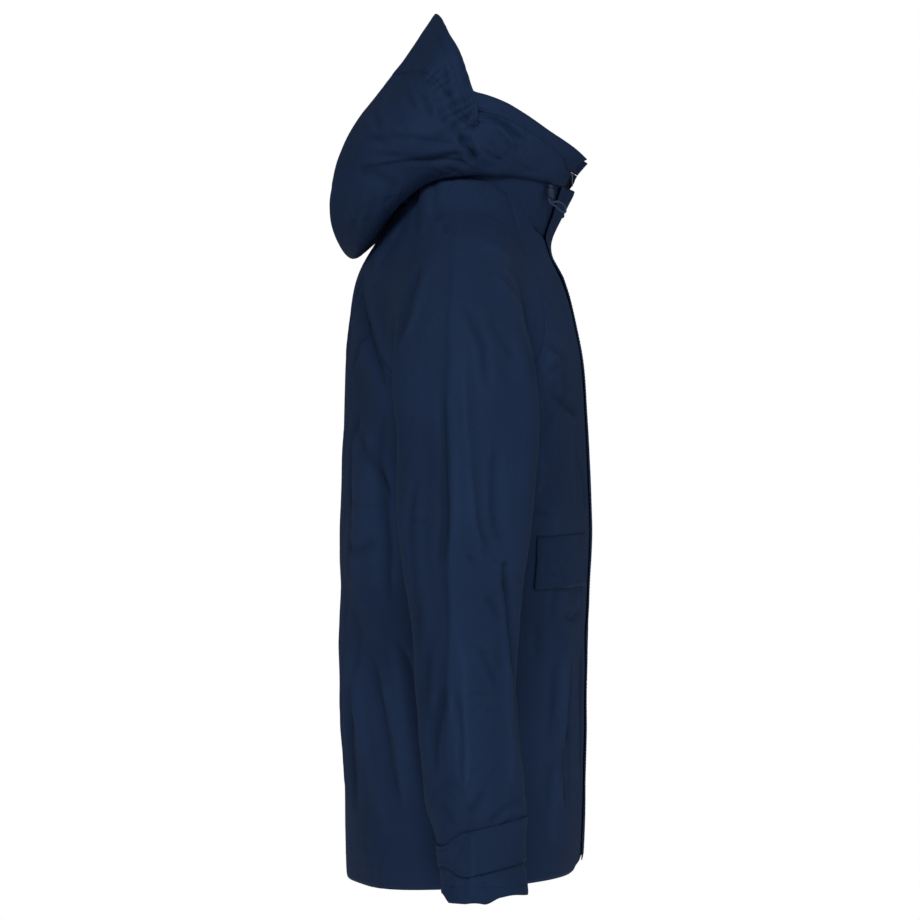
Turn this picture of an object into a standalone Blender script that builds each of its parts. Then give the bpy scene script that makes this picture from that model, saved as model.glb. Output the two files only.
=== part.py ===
"""Hooded waterproof jacket, filled out as worn, with nobody in it.

Metres, +Z up. The front of the jacket faces -Y and the wearer's left is +X. The origin is the middle
of the neck, where the wearer's shoulders carry it. Every cloth piece is a wall with real thickness,
lofted through sections, with its largest folds.

Angles around the body and the hood are in degrees from the front centre, through the wearer's right
side (90) and the back (180), to the wearer's left side (270).
"""
import math

import bmesh
import bpy
import mathutils
import numpy as np

# ---- cloth and seams ----
CLOTH = 0.0018            # wall of one layer of shell cloth
SEAM_GAP = 0.0003         # between two pieces along a seam
LAY_GAP = 0.0006          # between a piece and the one that it lies on
ZIP_HALF_GAP = 0.0065     # from the middle plane to each front edge
FLAP_HALF_WIDTH = 0.036   # storm flap, each side of the middle
LEFT_SHIFT = 3.0          # degrees by which the folds of the left side lie further round

# ---- levels ----
UNDERARM_Z = -0.210
NECK_AXIS_Y = -0.005      # the hood's sections turn about this upright axis
NECK_FRONT = 60           # angles where the raglan seams meet the neck seam
NECK_BACK = 132
ARM_TOP_OUTER = -0.190    # where the sleeve's cap becomes a tube, outside and next to the body
ARM_TOP_INNER = -0.245
STRAP_TOP = -0.654
CUFF_LEVELS = (STRAP_TOP, -0.677, -0.700, -0.712, -0.7245)

# ---- collar, zip and straps ----
COLLAR_ABOVE_HOOD = 0.028 # collar above the hood's seam
COLLAR_FLARE = 0.0015     # outward, over that height
FLAP_TIP = 0.0070         # how far the storm flap's upper end stands off the collar
TAPE_SHARE = 0.12         # zip tape behind each front, as a share of the storm flap's column
TAPE = 0.0012             # thickness of the zip tape
CHAIN_HALF = 0.0028       # zip chain, half its width
CHAIN = 0.0020            # and its height above the tape
SLIDER_Z = 0.048
SLIDER_WIDTH = 0.0090
SLIDER_LENGTH = 0.0120
SLIDER_PLATE = 0.0016
ARCH_HEIGHT = 0.0034      # arch for the pull tab: its bar's middle above the plate
ARCH_HALF = 0.0040        # half its length
ARCH_ROUND = 0.0010
ARCH_BAR = 0.0007         # radius of its bar
BAR_OFF = 0.0014          # the pull tab's own bar, above the plate
BAR_HALF = 0.0006
PULL_WIDTH = 0.0054
PULL_LENGTH = 0.0146
EYE_WIDTH = 0.0032
EYE_LENGTH = 0.0080
EYE_CUT = 0.0100          # depth of the cutter that makes the eye
PLATE_BEVEL = 0.0005
TAB_BEVEL = 0.0002
STRAP_LIFT = 0.0010       # cuff strap off the sleeve
STRAP_END_LIFT = 0.0035   # and more at its end
STRAP_FIRST, STRAP_FULL, STRAP_LAST = 4, 13, 17    # columns of the sleeve under the strap
STRAP_WIDE = 0.046        # width of the strap, and of its narrow end
STRAP_END = 0.021
POCKET_LOW_ROW, POCKET_TOP_ROW = 11, 13            # rows of the front under the pocket flap
POCKET_FIRST, POCKET_LAST = 2, 6                   # and its columns
POCKET_EDGE_LIFT = 0.0020
LOCK_ANGLE = 37.0         # cord lock of the hood's drawcord
LOCK_RADIUS = 0.1096
LOCK_Z = 0.0220
LOCK_LENGTH = 0.0140
LOCK_THICK = 0.0085
LOCK_BEVEL = 0.0012
CORD_RADIUS = 0.0012
LOOP_ANGLE = 27.0         # where the cord's loop ends
LOOP_RADIUS = 0.1150
LOOP_Z = 0.0030
LOOP_SPREAD = 0.0034      # half the loop's width
LOOP_START = 0.0030       # length that each strand runs straight down from the lock
LOOP_APART = 0.0020       # half the distance between the strands there
CORD_POINTS = 18
BAR_RESOLUTION = 2        # roundness of cords and bars
MERGE = 0.00001
RIGHT, LEFT = "right", "left"

# ---- how finely each piece is divided ----
BODY_ROWS = 18            # hem to underarm
SEAM_ROWS = 9             # underarm to neck, along the raglan seams
FRONT_COLUMNS = 8         # storm flap's edge to side seam
BACK_COLUMNS = 16         # side seam to side seam
NECK_COLUMNS = 4          # the raglan sleeve's share of the neckline
CAP_ROWS = 9              # sleeve, seam to upper arm
ARM_ROWS = 16             # sleeve, upper arm to strap
FOLD_FADE_ROWS = 4        # rows over which the sleeve's folds begin
HOOD_ROWS = 10            # hood side, neck seam to gathered seam
PEAK_ROWS = 4
LEFT_TURN = 4.0           # degrees by which the left sleeve's folds lie further round
CAP_ROUNDNESS = 0.45      # how far the cap keeps its first direction, as a share of its length
UNDERARM_LINE = np.array((-0.7507, 0.0, -0.6606))    # where the sleeve heads at the underarm
SHOULDER_LINE = np.array((-0.9302, 0.0, -0.3671))    # and from the neck to the shoulder
UNDERARM_SHARE = 0.40     # part of the raglan seam over which each of these fades out
SHOULDER_SHARE = 0.30
TOP_TURN = 30             # the neckline's share of the sleeve, each side of its outer line, in degrees
SEAM_STEP = 0.02          # share of the seam used for measuring its direction
HOOD_FADE = 0.12          # share of a hood section over which its folds begin at the neck seam
SHARP_ANGLE = 50.0        # edges turning more than this are drawn sharp


def smooth_between(keys, values, slopes, key):
    """Value at a key on the smooth curve that passes through each value with its slope."""
    i = min(max(int(np.searchsorted(keys, key, side="right")) - 1, 0), len(keys) - 2)
    h = keys[i + 1] - keys[i]
    t = (key - keys[i]) / h
    return ((1 + 2 * t) * (1 - t) ** 2 * values[i] + t * (1 - t) ** 2 * h * slopes[i]
            + t * t * (3 - 2 * t) * values[i + 1] - t * t * (1 - t) * h * slopes[i + 1])


def sections(columns, *rows):
    """A smooth look-up through a table: at(key) gives a dict with one value for each other column."""
    data = np.array(sorted(rows), dtype=float)
    keys, values = data[:, 0], data[:, 1:]
    rise = np.diff(values, axis=0) / np.diff(keys)[:, None]
    slopes = np.zeros_like(values)
    slopes[0], slopes[-1] = rise[0], rise[-1]
    for i in range(1, len(keys) - 1):
        same = rise[i - 1] * rise[i] > 0
        total = np.where(same, rise[i - 1] + rise[i], 1.0)
        slopes[i] = np.where(same, 2.0 * rise[i - 1] * rise[i] / total, 0.0)

    def at(key):
        inside = min(max(key, keys[0]), keys[-1])
        return dict(zip(columns[1:], smooth_between(keys, values, slopes, inside)))

    return at


# Body, from hem to neck: reach of the front and the back from the side seams' plane, half width.
body_at = sections(
    ("z", "front", "back", "half", "square"),
    (-0.726, 0.1245, 0.1310, 0.2360, 2.30),
    (-0.690, 0.1285, 0.1325, 0.2340, 2.30),
    (-0.626, 0.1300, 0.1355, 0.2275, 2.30),
    (-0.549, 0.1320, 0.1390, 0.2200, 2.30),
    (-0.472, 0.1330, 0.1390, 0.2120, 2.30),
    (-0.410, 0.1340, 0.1400, 0.2060, 2.30),
    (-0.349, 0.1365, 0.1405, 0.2030, 2.30),
    (-0.300, 0.1355, 0.1385, 0.2010, 2.30),
    (-0.256, 0.1340, 0.1360, 0.2000, 2.30),
    (-0.210, 0.1325, 0.1345, 0.2000, 2.28),
    (-0.165, 0.1285, 0.1325, 0.1960, 2.25),
    (-0.133, 0.1230, 0.1290, 0.1860, 2.20),
    (-0.102, 0.1160, 0.1250, 0.1700, 2.15),
    (-0.0715, 0.1065, 0.1200, 0.1500, 2.10),
    (-0.041, 0.0915, 0.1050, 0.1290, 2.05),
    (-0.015, 0.0880, 0.0870, 0.1120, 2.00),
    (0.008, 0.0860, 0.0790, 0.1005, 2.00),
    (0.030, 0.0860, 0.0740, 0.0950, 2.00),
)

# Heights of the hem and of the neck seam around the body.
edge_at = sections(
    ("angle", "hem", "neck", "lean"),
    (0, -0.704, -0.033, 0.15),
    (15, -0.709, -0.027, 0.22),
    (30, -0.7135, -0.019, 0.35),
    (60, -0.7160, 0.006, 0.75),
    (90, -0.7190, 0.014, 1.00),
    (132, -0.7235, 0.012, 0.80),
    (180, -0.7205, 0.008, 0.45),
)

# Raglan seams, from underarm (0) to neck (1), on the wearer's right.
front_seam_at = sections(
    ("along", "angle", "z"),
    (0.00, 90, -0.210), (0.12, 78, -0.204), (0.25, 65, -0.189), (0.40, 52, -0.156),
    (0.58, 46, -0.115), (0.75, 43, -0.076), (0.88, 47, -0.035), (1.00, 60, 0.006),
)
back_seam_at = sections(
    ("along", "angle", "z"),
    (0.00, 90, -0.210), (0.12, 102, -0.205), (0.25, 117, -0.191), (0.40, 131, -0.160),
    (0.58, 141, -0.122), (0.75, 146, -0.082), (0.88, 143, -0.036), (1.00, 132, 0.012),
)

# Sleeve, from the upper arm to the cuff: middle of the tube and its half sizes.
arm_at = sections(
    ("z", "mid_x", "mid_y", "half_x", "half_y"),
    (-0.180, 0.2480, 0.0010, 0.0640, 0.0785),
    (-0.250, 0.2690, -0.0020, 0.0610, 0.0765),
    (-0.311, 0.2745, 0.0010, 0.0590, 0.0752),
    (-0.373, 0.2810, 0.0024, 0.0560, 0.0685),
    (-0.435, 0.2870, 0.0004, 0.0525, 0.0592),
    (-0.497, 0.2930, -0.0002, 0.0495, 0.0545),
    (-0.569, 0.2985, -0.0049, 0.0465, 0.0530),
    (-0.621, 0.3020, -0.0110, 0.0450, 0.0520),
    (-0.650, 0.3035, -0.0140, 0.0420, 0.0475),
    (-0.680, 0.3045, -0.0165, 0.0400, 0.0455),
    (-0.705, 0.3055, -0.0190, 0.0415, 0.0465),
    (-0.7245, 0.3060, -0.0200, 0.0430, 0.0465),
)

# Hood, one row for each upright section about the neck: distance from the axis and height of six
# points, from the neck seam, down round the hanging bag, up to the gathered seam and the face opening.
hood_at = sections(
    ("angle", "base_r", "base_z", "low_r", "low_z", "belly_r", "belly_z",
     "crown_r", "crown_z", "brow_r", "brow_z", "rim_r", "rim_z"),
    (0, 0.111, 0.026, 0.113, 0.029, 0.116, 0.033, 0.118, 0.037, 0.120, 0.040, 0.134, 0.052),
    (25, 0.110, 0.029, 0.113, 0.034, 0.117, 0.041, 0.119, 0.048, 0.121, 0.052, 0.127, 0.070),
    (50, 0.105, 0.034, 0.110, 0.040, 0.115, 0.052, 0.118, 0.066, 0.119, 0.077, 0.114, 0.096),
    (70, 0.102, 0.036, 0.109, 0.041, 0.118, 0.058, 0.121, 0.078, 0.119, 0.097, 0.112, 0.117),
    (84, 0.100, 0.037, 0.110, 0.040, 0.121, 0.060, 0.124, 0.084, 0.120, 0.107, 0.113, 0.128),
    (86, 0.100, 0.038, 0.110, 0.039, 0.122, 0.056, 0.126, 0.072, 0.127, 0.089, 0.122, 0.116),
    (92, 0.100, 0.039, 0.111, 0.037, 0.125, 0.058, 0.128, 0.076, 0.126, 0.097, 0.114, 0.150),
    (100, 0.098, 0.040, 0.112, 0.034, 0.133, 0.060, 0.134, 0.090, 0.121, 0.124, 0.090, 0.182),
    (115, 0.094, 0.038, 0.117, 0.026, 0.146, 0.055, 0.142, 0.098, 0.107, 0.145, 0.063, 0.203),
    (135, 0.088, 0.034, 0.120, -0.002, 0.155, 0.040, 0.140, 0.098, 0.089, 0.154, 0.045, 0.215),
    (157, 0.084, 0.028, 0.125, -0.044, 0.158, 0.018, 0.134, 0.095, 0.085, 0.153, 0.039, 0.220),
    (180, 0.083, 0.026, 0.127, -0.056, 0.1562, 0.008, 0.129, 0.095, 0.085, 0.152, 0.038, 0.221),
)
HOOD_POINTS = ("base", "low", "belly", "crown", "brow", "rim")
HOOD_MARKS = (0.0, 0.22, 0.45, 0.65, 0.80, 1.0)    # where those points lie along a section
BROW = HOOD_MARKS[4]
CASING_ANGLES = (6.5, 14, 22, 30, 38, 46, 54, 62, 70, 77, 84)
SIDE_ANGLES = CASING_ANGLES + (86, 90, 94, 99, 106, 114, 123, 132, 141, 150)
CENTRE_ANGLES = (150, 160, 170, 180, 190, 200, 210)
PEAK_ANGLES = (86, 90, 94, 99, 106, 114, 123, 132, 141, 150, 160, 170, 180)

# Folds on the wearer's right: a straight run between two places on the piece, its width and depth in
# millimetres, positive for a ridge and negative for a trough. The left side has them too, a little
# shifted. Places are an angle and a height, or on the hood an angle and a share of the section.
# Columns: angle_1, level_1, angle_2, level_2, width, depth.
BODY_DEGREE = 0.0031      # cloth in one degree round the body
ARM_DEGREE = 0.00118      # and round the sleeve
HOOD_DEGREE = 0.0021      # and round the hood
HOOD_SECTION = 0.20       # cloth along one whole section of the hood
BODY_FOLDS = (
    (115, -0.250, 130, -0.345, 20, -7),    # hollow of the back below the armhole
    (126, -0.262, 150, -0.420, 24, 5),
    (138, -0.200, 163, -0.345, 22, -4),
    (150, -0.430, 112, -0.640, 22, -5),    # long drapes of the back skirt
    (165, -0.450, 136, -0.700, 26, 6),
    (176, -0.300, 170, -0.640, 24, -4),
    (100, -0.420, 97, -0.690, 24, 5),
    (84, -0.350, 80, -0.560, 24, -4),
    (160, -0.408, 200, -0.408, 9, -3),     # waist channel
    (118, -0.408, 160, -0.408, 9, -3),
    (46, -0.160, 40, -0.252, 15, 5),       # loop at the front of the armhole
    (55, -0.205, 52, -0.300, 14, -6),
    (36, -0.205, 24, -0.330, 20, -4),
    (62, -0.290, 40, -0.350, 18, 4),
    (60, -0.420, 44, -0.640, 20, -5),      # drapes of the front skirt
    (44, -0.450, 36, -0.690, 22, 5),
    (28, -0.400, 26, -0.620, 20, -3),
    (30, -0.075, 22, -0.190, 20, -3),
)
ARM_FOLDS = (
    (24, -0.130, 5, -0.330, 20, 6),        # ridge down the outer arm
    (352, -0.330, 348, -0.600, 14, 5),
    (50, -0.150, 28, -0.330, 15, -5),      # drags from the shoulder point
    (72, -0.150, 58, -0.300, 15, 5),
    (320, -0.140, 335, -0.330, 18, -5),
    (292, -0.150, 300, -0.400, 18, 5),
    (272, -0.240, 288, -0.520, 18, -5),
    (20, -0.360, 60, -0.400, 12, -5),      # elbow crumples
    (10, -0.395, 62, -0.372, 11, 4),
    (25, -0.430, 70, -0.440, 11, -4),
    (320, -0.470, 20, -0.520, 13, -4),
    (30, -0.500, 78, -0.512, 11, -4),
    (285, -0.480, 310, -0.640, 15, 5),
    (60, -0.540, 75, -0.610, 12, 4),
    (40, -0.560, 20, -0.640, 12, -4),
    (330, -0.600, 300, -0.640, 11, -4),
    (0, -0.628, 60, -0.634, 9, 5),         # cloth bunched above the strap
    (90, -0.630, 150, -0.618, 9, 5),
    (200, -0.622, 290, -0.634, 9, 5),
    (200, -0.380, 160, -0.420, 13, -5),    # inner elbow
    (170, -0.350, 215, -0.362, 12, -4),
)
HOOD_FOLDS = (
    (150, 0.52, 96, 0.40, 11, -8),         # long crease across the bag
    (172, 0.42, 120, 0.30, 12, 5),
    (160, 0.62, 112, 0.55, 12, 5),
    (108, 0.24, 128, 0.40, 10, -5),
    (90, 0.70, 104, 0.52, 9, -6),
    (60, 0.62, 76, 0.30, 10, -4),
    (36, 0.75, 52, 0.25, 10, -3),
    (178, 0.26, 182, 0.50, 12, -4),
    (108, 0.98, 112, 0.82, 9, 6),          # the peak's own folds
    (96, 0.97, 94, 0.82, 7, -5),
    (135, 0.90, 150, 0.82, 9, -4),
)


def fold_height(folds, angle, level, metres_per_degree, metres_per_level):
    """Sum of the folds near a place, measured round the piece the short way."""
    scale = np.array((metres_per_degree, metres_per_level))
    height = 0.0
    for angle_1, level_1, angle_2, level_2, width, depth in folds:
        bend = (angle_2 - angle_1 + 180) % 360 - 180
        middle = angle_1 + bend / 2
        run = np.array((bend, level_2 - level_1)) * scale
        place = np.array(((angle - middle + 180) % 360 - 180 + bend / 2, level - level_1)) * scale
        share = min(max(place @ run / (run @ run), 0.0), 1.0)
        away = np.linalg.norm(place - share * run) / (width / 1000)
        height += depth / 1000 * math.exp(-away * away)
    return height


def right_angle(angle):
    """The same place on the wearer's right; the left side's folds lie a little further round."""
    return 360 - angle - LEFT_SHIFT if angle > 180 else angle


def unit(vectors):
    return vectors / np.linalg.norm(vectors, axis=-1, keepdims=True)


def polar(angle, radius, z):
    """A point about the hood's axis."""
    a = math.radians(angle)
    return np.array((-radius * math.sin(a), NECK_AXIS_Y - radius * math.cos(a), z))


# ---- body surface ----
def plain_body(angle, z):
    size = body_at(z)
    a = math.radians(angle)
    power = 2.0 / size["square"]
    side, ahead = math.sin(a), math.cos(a)
    reach = size["front"] if ahead > 0 else size["back"]
    x = -size["half"] * math.copysign(abs(side) ** power, side)
    y = -reach * math.copysign(abs(ahead) ** power, ahead)
    return np.array((x, y, z))


def normal_of(surface, angle, level, angle_step, level_step):
    """Outward normal of a surface that is given as a function of an angle and a level."""
    around = surface(angle + angle_step, level) - surface(angle - angle_step, level)
    up = surface(angle, level + level_step) - surface(angle, level - level_step)
    return unit(np.cross(up, around))


def body(angle, z):
    plain = plain_body(angle, z)
    height = fold_height(BODY_FOLDS, right_angle(angle), z, BODY_DEGREE, 1.0)
    return plain + height * normal_of(plain_body, angle, z, 0.5, 0.002)


def body_normal(angle, z):
    return normal_of(body, angle, z, 0.8, 0.004)


def angle_at_x(x, z):
    """Angle near the front centre where the body is this far from the middle plane."""
    size = body_at(z)
    return math.degrees(math.asin((x / size["half"]) ** (size["square"] / 2.0)))


def neck_normal(angle):
    a = math.radians(angle)
    lean = edge_at(min(angle, 360 - angle))["lean"]
    return unit(np.array((-math.sin(a), -math.cos(a), lean)))


def mirror(points):
    return points * np.array((-1.0, 1.0, 1.0))


# ---- the raglan seam, shared by the body pieces and the sleeve ----
def seam_place(side_at, along):
    row = side_at(along)
    return row["angle"], row["z"]


def seam_frame(side_at, along, outward):
    """Point, direction along the seam, the sleeve's first direction and the shared wall normal."""
    angle, z = seam_place(side_at, along)
    low, high = max(along - SEAM_STEP, 0.0), min(along + SEAM_STEP, 1.0)
    run = unit(body(*seam_place(side_at, high)) - body(*seam_place(side_at, low)))
    if along == 0.0:
        run = np.array((0.0, outward, 0.0))
    skin = body_normal(angle, z)
    away = np.cross(skin, run) * -outward
    low_share = max(0.0, 1.0 - along / UNDERARM_SHARE)
    high_share = max(0.0, 1.0 - (1.0 - along) / SHOULDER_SHARE)
    first = away * (1 - low_share) * (1 - high_share)
    first = unit(first + UNDERARM_LINE * low_share + SHOULDER_LINE * high_share)
    sleeve_skin = np.cross(run, first) * -outward
    wall = unit(skin + unit(sleeve_skin))
    if along == 1.0:
        wall = neck_normal(angle)
    return body(angle, z), first, wall


FRONT, BACK = -1.0, 1.0
alongs = [i / SEAM_ROWS for i in range(SEAM_ROWS + 1)]
front_frames = [seam_frame(front_seam_at, a, FRONT) for a in alongs]
back_frames = [seam_frame(back_seam_at, a, BACK) for a in alongs]


# ---- grids of the cloth pieces: points and wall normals, row by row ----
def front_grid():
    """Front on the wearer's right, from hem to neck, and from the zip's edge to the side."""
    points, normals = [], []

    def add(angles, heights, last=None, top=False):
        row = [body(a, z) for a, z in zip(angles, heights)]
        skins = [body_normal(a, z) for a, z in zip(angles, heights)]
        if top:
            skins = [neck_normal(a) for a in angles]
        if last:
            row[-1], skins[-1] = last[0], last[2]
        points.append(row)
        normals.append(skins)

    def spread(edge, z):
        zip_edge, flap_edge = angle_at_x(ZIP_HALF_GAP, z), angle_at_x(FLAP_HALF_WIDTH, z)
        shares = [i / FRONT_COLUMNS for i in range(FRONT_COLUMNS + 1)]
        return [zip_edge] + [flap_edge + (edge - flap_edge) * share for share in shares]

    for i in range(BODY_ROWS):
        share = i / BODY_ROWS
        angles = spread(90.0, edge_at(0)["hem"] * (1 - share) + UNDERARM_Z * share)
        hems = [edge_at(a)["hem"] for a in angles]
        add(angles, [h + (UNDERARM_Z - h) * share for h in hems])
    neck_front, neck_corner = edge_at(0)["neck"], front_seam_at(1.0)["z"]
    for along, frame in zip(alongs, front_frames):
        edge, z = seam_place(front_seam_at, along)
        centre = UNDERARM_Z + (neck_front - UNDERARM_Z) * along
        angles = spread(edge, centre)
        necks = [edge_at(a * NECK_FRONT / edge)["neck"] for a in angles]
        curve = [(neck - neck_front) / (neck_corner - neck_front) for neck in necks]
        add(angles, [centre + (z - centre) * c for c in curve], frame, along == 1.0)
    return np.array(points), np.array(normals)


def back_grid():
    """Whole back, from the right side seam to the left one."""
    points, normals = [], []
    shares = [i / BACK_COLUMNS for i in range(BACK_COLUMNS + 1)]
    for i in range(BODY_ROWS):
        rise = i / BODY_ROWS
        angles = [90 + 180 * s for s in shares]
        hems = [edge_at(min(a, 360 - a))["hem"] for a in angles]
        heights = [h + (UNDERARM_Z - h) * rise for h in hems]
        points.append([body(a, z) for a, z in zip(angles, heights)])
        normals.append([body_normal(a, z) for a, z in zip(angles, heights)])
    neck_back = edge_at(180)["neck"]
    for along, frame in zip(alongs, back_frames):
        edge, z = seam_place(back_seam_at, along)
        centre = UNDERARM_Z + (neck_back - UNDERARM_Z) * along
        angles = [edge + (360 - 2 * edge) * s for s in shares]
        heights = [z + (centre - z) * math.sin(math.pi * s) for s in shares]
        row = [body(a, h) for a, h in zip(angles, heights)]
        skins = [body_normal(a, h) for a, h in zip(angles, heights)]
        if along == 1.0:
            skins = [neck_normal(a) for a in angles]
        row[0], skins[0] = frame[0], frame[2]
        row[-1], skins[-1] = mirror(frame[0]), mirror(frame[2])
        points.append(row)
        normals.append(skins)
    return np.array(points), np.array(normals)


def arm_point(turn, z):
    """Right sleeve; turn is 0 on the outer side, 90 in front, 180 next to the body, 270 behind."""
    size = arm_at(z)
    a = math.radians(turn)
    return np.array((-size["mid_x"] - size["half_x"] * math.cos(a),
                     size["mid_y"] - size["half_y"] * math.sin(a), z))


def sleeve_starts():
    """The sleeve's top edge: start, first direction, wall normal and turn, from underarm forwards."""
    rows = [frame + (180 - (180 - TOP_TURN) * along,) for along, frame in zip(alongs, front_frames)]
    for i in range(1, NECK_COLUMNS):
        share = i / NECK_COLUMNS
        angle = NECK_FRONT + (NECK_BACK - NECK_FRONT) * share
        start = body(angle, edge_at(angle)["neck"])
        rows.append((start, SHOULDER_LINE, neck_normal(angle), TOP_TURN * (1 - 2 * share)))
    for along, frame in reversed(list(zip(alongs, back_frames))[1:]):
        rows.append(frame + ((180 - TOP_TURN) * along - 180,))
    return rows


def grid_normals(points, closed=False):
    """Normals of a grid that runs round the wearer's right hand side as its columns go on."""
    if closed:
        around = np.roll(points, -1, axis=1) - np.roll(points, 1, axis=1)
    else:
        around = np.gradient(points, axis=1)
    return unit(np.cross(np.gradient(points, axis=0), around))


def sleeve_grid(shift):
    """Sleeve as on the wearer's right; shift moves its folds round it."""
    starts = sleeve_starts()
    columns = []
    for start, first, skin, turn in starts:
        top = ARM_TOP_INNER + (ARM_TOP_OUTER - ARM_TOP_INNER) * (1 + math.cos(math.radians(turn))) / 2
        end = arm_point(turn, top)
        drop = unit(arm_point(turn, top - 0.01) - end)
        reach = CAP_ROUNDNESS * np.linalg.norm(end - start)
        control = (start, start + first * reach, end - drop * reach, end)
        column = []
        for i in range(CAP_ROWS):
            t = i / CAP_ROWS
            weights = ((1 - t) ** 3, 3 * t * (1 - t) ** 2, 3 * t * t * (1 - t), t ** 3)
            column.append(sum(w * p for w, p in zip(weights, control)))
        for i in range(ARM_ROWS):
            column.append(arm_point(turn, top + (STRAP_TOP - top) * i / ARM_ROWS))
        column += [arm_point(turn, z) for z in CUFF_LEVELS]
        columns.append(column)
    points = np.array(columns).transpose(1, 0, 2)
    normals = -grid_normals(points, closed=True)
    for j, (start, first, skin, turn) in enumerate(starts):
        for i in range(1, len(points)):
            height = fold_height(ARM_FOLDS, turn + shift, points[i, j, 2], ARM_DEGREE, 1.0)
            points[i, j] += normals[i, j] * height * min(i / FOLD_FADE_ROWS, 1.0)
    normals = -grid_normals(points, closed=True)
    for j, (start, first, skin, turn) in enumerate(starts):
        normals[0, j] = skin
        normals[1, j] = unit(normals[1, j] + skin)
    return points, normals


# ---- hood and collar surfaces ----
def plain_hood(angle, level):
    row = hood_at(min(angle, 360 - angle))
    radii = [row[name + "_r"] for name in HOOD_POINTS]
    heights = [row[name + "_z"] for name in HOOD_POINTS]
    curve = hood_section(HOOD_MARKS, radii, heights, level)
    return polar(angle, *curve)


def hood_section(marks, radii, heights, level):
    """Distance from the axis and height on the curve through the six points of a hood section."""
    points = np.array((radii, heights)).T
    slopes = np.gradient(points, np.array(marks), axis=0)
    return smooth_between(marks, points, slopes, level)


def hood(angle, level):
    level = min(max(level, 0.0), 1.0)
    plain = plain_hood(angle, level)
    height = fold_height(HOOD_FOLDS, right_angle(angle), level, HOOD_DEGREE, HOOD_SECTION)
    fade = min(level / HOOD_FADE, 1.0)
    return plain + height * fade * normal_of(plain_hood, angle, level, 0.8, 0.01)


def hood_normal(angle, level):
    return normal_of(hood, angle, min(max(level, 0.012), 0.988), 1.0, 0.012)


def hood_grid(angles, levels):
    points = [[hood(a, v) for a in angles] for v in levels]
    normals = [[hood_normal(a, v) for a in angles] for v in levels]
    return np.array(points), np.array(normals)


def mirrored(grid):
    return mirror(grid[0]), mirror(grid[1])


def collar_grid(front, back):
    """Collar from the zip's right edge round the neck to its left edge, and from neck seam to top."""
    front_line, front_skin = front[0][-1], front[1][-1]
    back_line, back_skin = back[0][-1], back[1][-1]
    starts = sleeve_starts()[SEAM_ROWS + 1:SEAM_ROWS + NECK_COLUMNS]
    sleeve_line = np.array([row[0] for row in starts])
    sleeve_skin = np.array([row[2] for row in starts])
    right = np.concatenate((front_line, sleeve_line)), np.concatenate((front_skin, sleeve_skin))
    left = mirror(right[0][::-1]), mirror(right[1][::-1])
    line = np.concatenate((right[0], back_line, left[0]))
    skin = np.concatenate((right[1], back_skin, left[1]))
    held, top = [], []
    for point in line:
        angle = math.degrees(math.atan2(-point[0], NECK_AXIS_Y - point[1])) % 360
        seat = hood(angle, 0.0)
        seat_inner = seat - hood_normal(angle, 0.0) * CLOTH
        radius = min(np.hypot(p[0], p[1] - NECK_AXIS_Y) for p in (seat, seat_inner)) - LAY_GAP
        held.append(polar(angle, radius, seat[2]))
        top.append(polar(angle, radius + COLLAR_FLARE, seat[2] + COLLAR_ABOVE_HOOD))
    held, top = np.array(held), np.array(top)
    rows = np.array([line, (line + held) / 2, held, top])
    normals = grid_normals(rows)
    normals[0] = skin
    return rows, normals


def centre_strip(front, collar, shares):
    """Grid over the fronts and the collar beside the zip, from hem to collar top.

    Each share is a side and a place from that front's zip edge (0) to its next column (1).
    """
    points = np.concatenate((front[0][:, :2], collar[0][1:, :2]))
    normals = np.concatenate((front[1][:, :2], collar[1][1:, :2]))
    line, skin = [], []
    for side, share in shares:
        p = points[:, 0] * (1 - share) + points[:, 1] * share
        n = unit(normals[:, 0] * (1 - share) + normals[:, 1] * share)
        line.append(mirror(p) if side == LEFT else p)
        skin.append(mirror(n) if side == LEFT else n)
    return np.array(line).transpose(1, 0, 2), np.array(skin).transpose(1, 0, 2)


def lifted(grid, height):
    """A grid moved out along its normals; height may differ from row to row."""
    points, normals = grid
    height = np.broadcast_to(np.asarray(height, dtype=float).reshape(-1, 1, 1), (points.shape[0], 1, 1))
    return points + normals * height, normals


# ---- turning a grid into a wall ----
def new_object(name, verts, faces, material):
    mesh = bpy.data.meshes.new(name)
    mesh.from_pydata([tuple(v) for v in verts], [], faces)
    bm = bmesh.new()
    bm.from_mesh(mesh)
    bmesh.ops.recalc_face_normals(bm, faces=bm.faces)
    bm.to_mesh(mesh)
    bm.free()
    mesh.shade_smooth()
    mesh.set_sharp_from_angle(angle=math.radians(SHARP_ANGLE))
    mesh.materials.append(material)
    obj = bpy.data.objects.new(name, mesh)
    jacket.objects.link(obj)
    return obj


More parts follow.
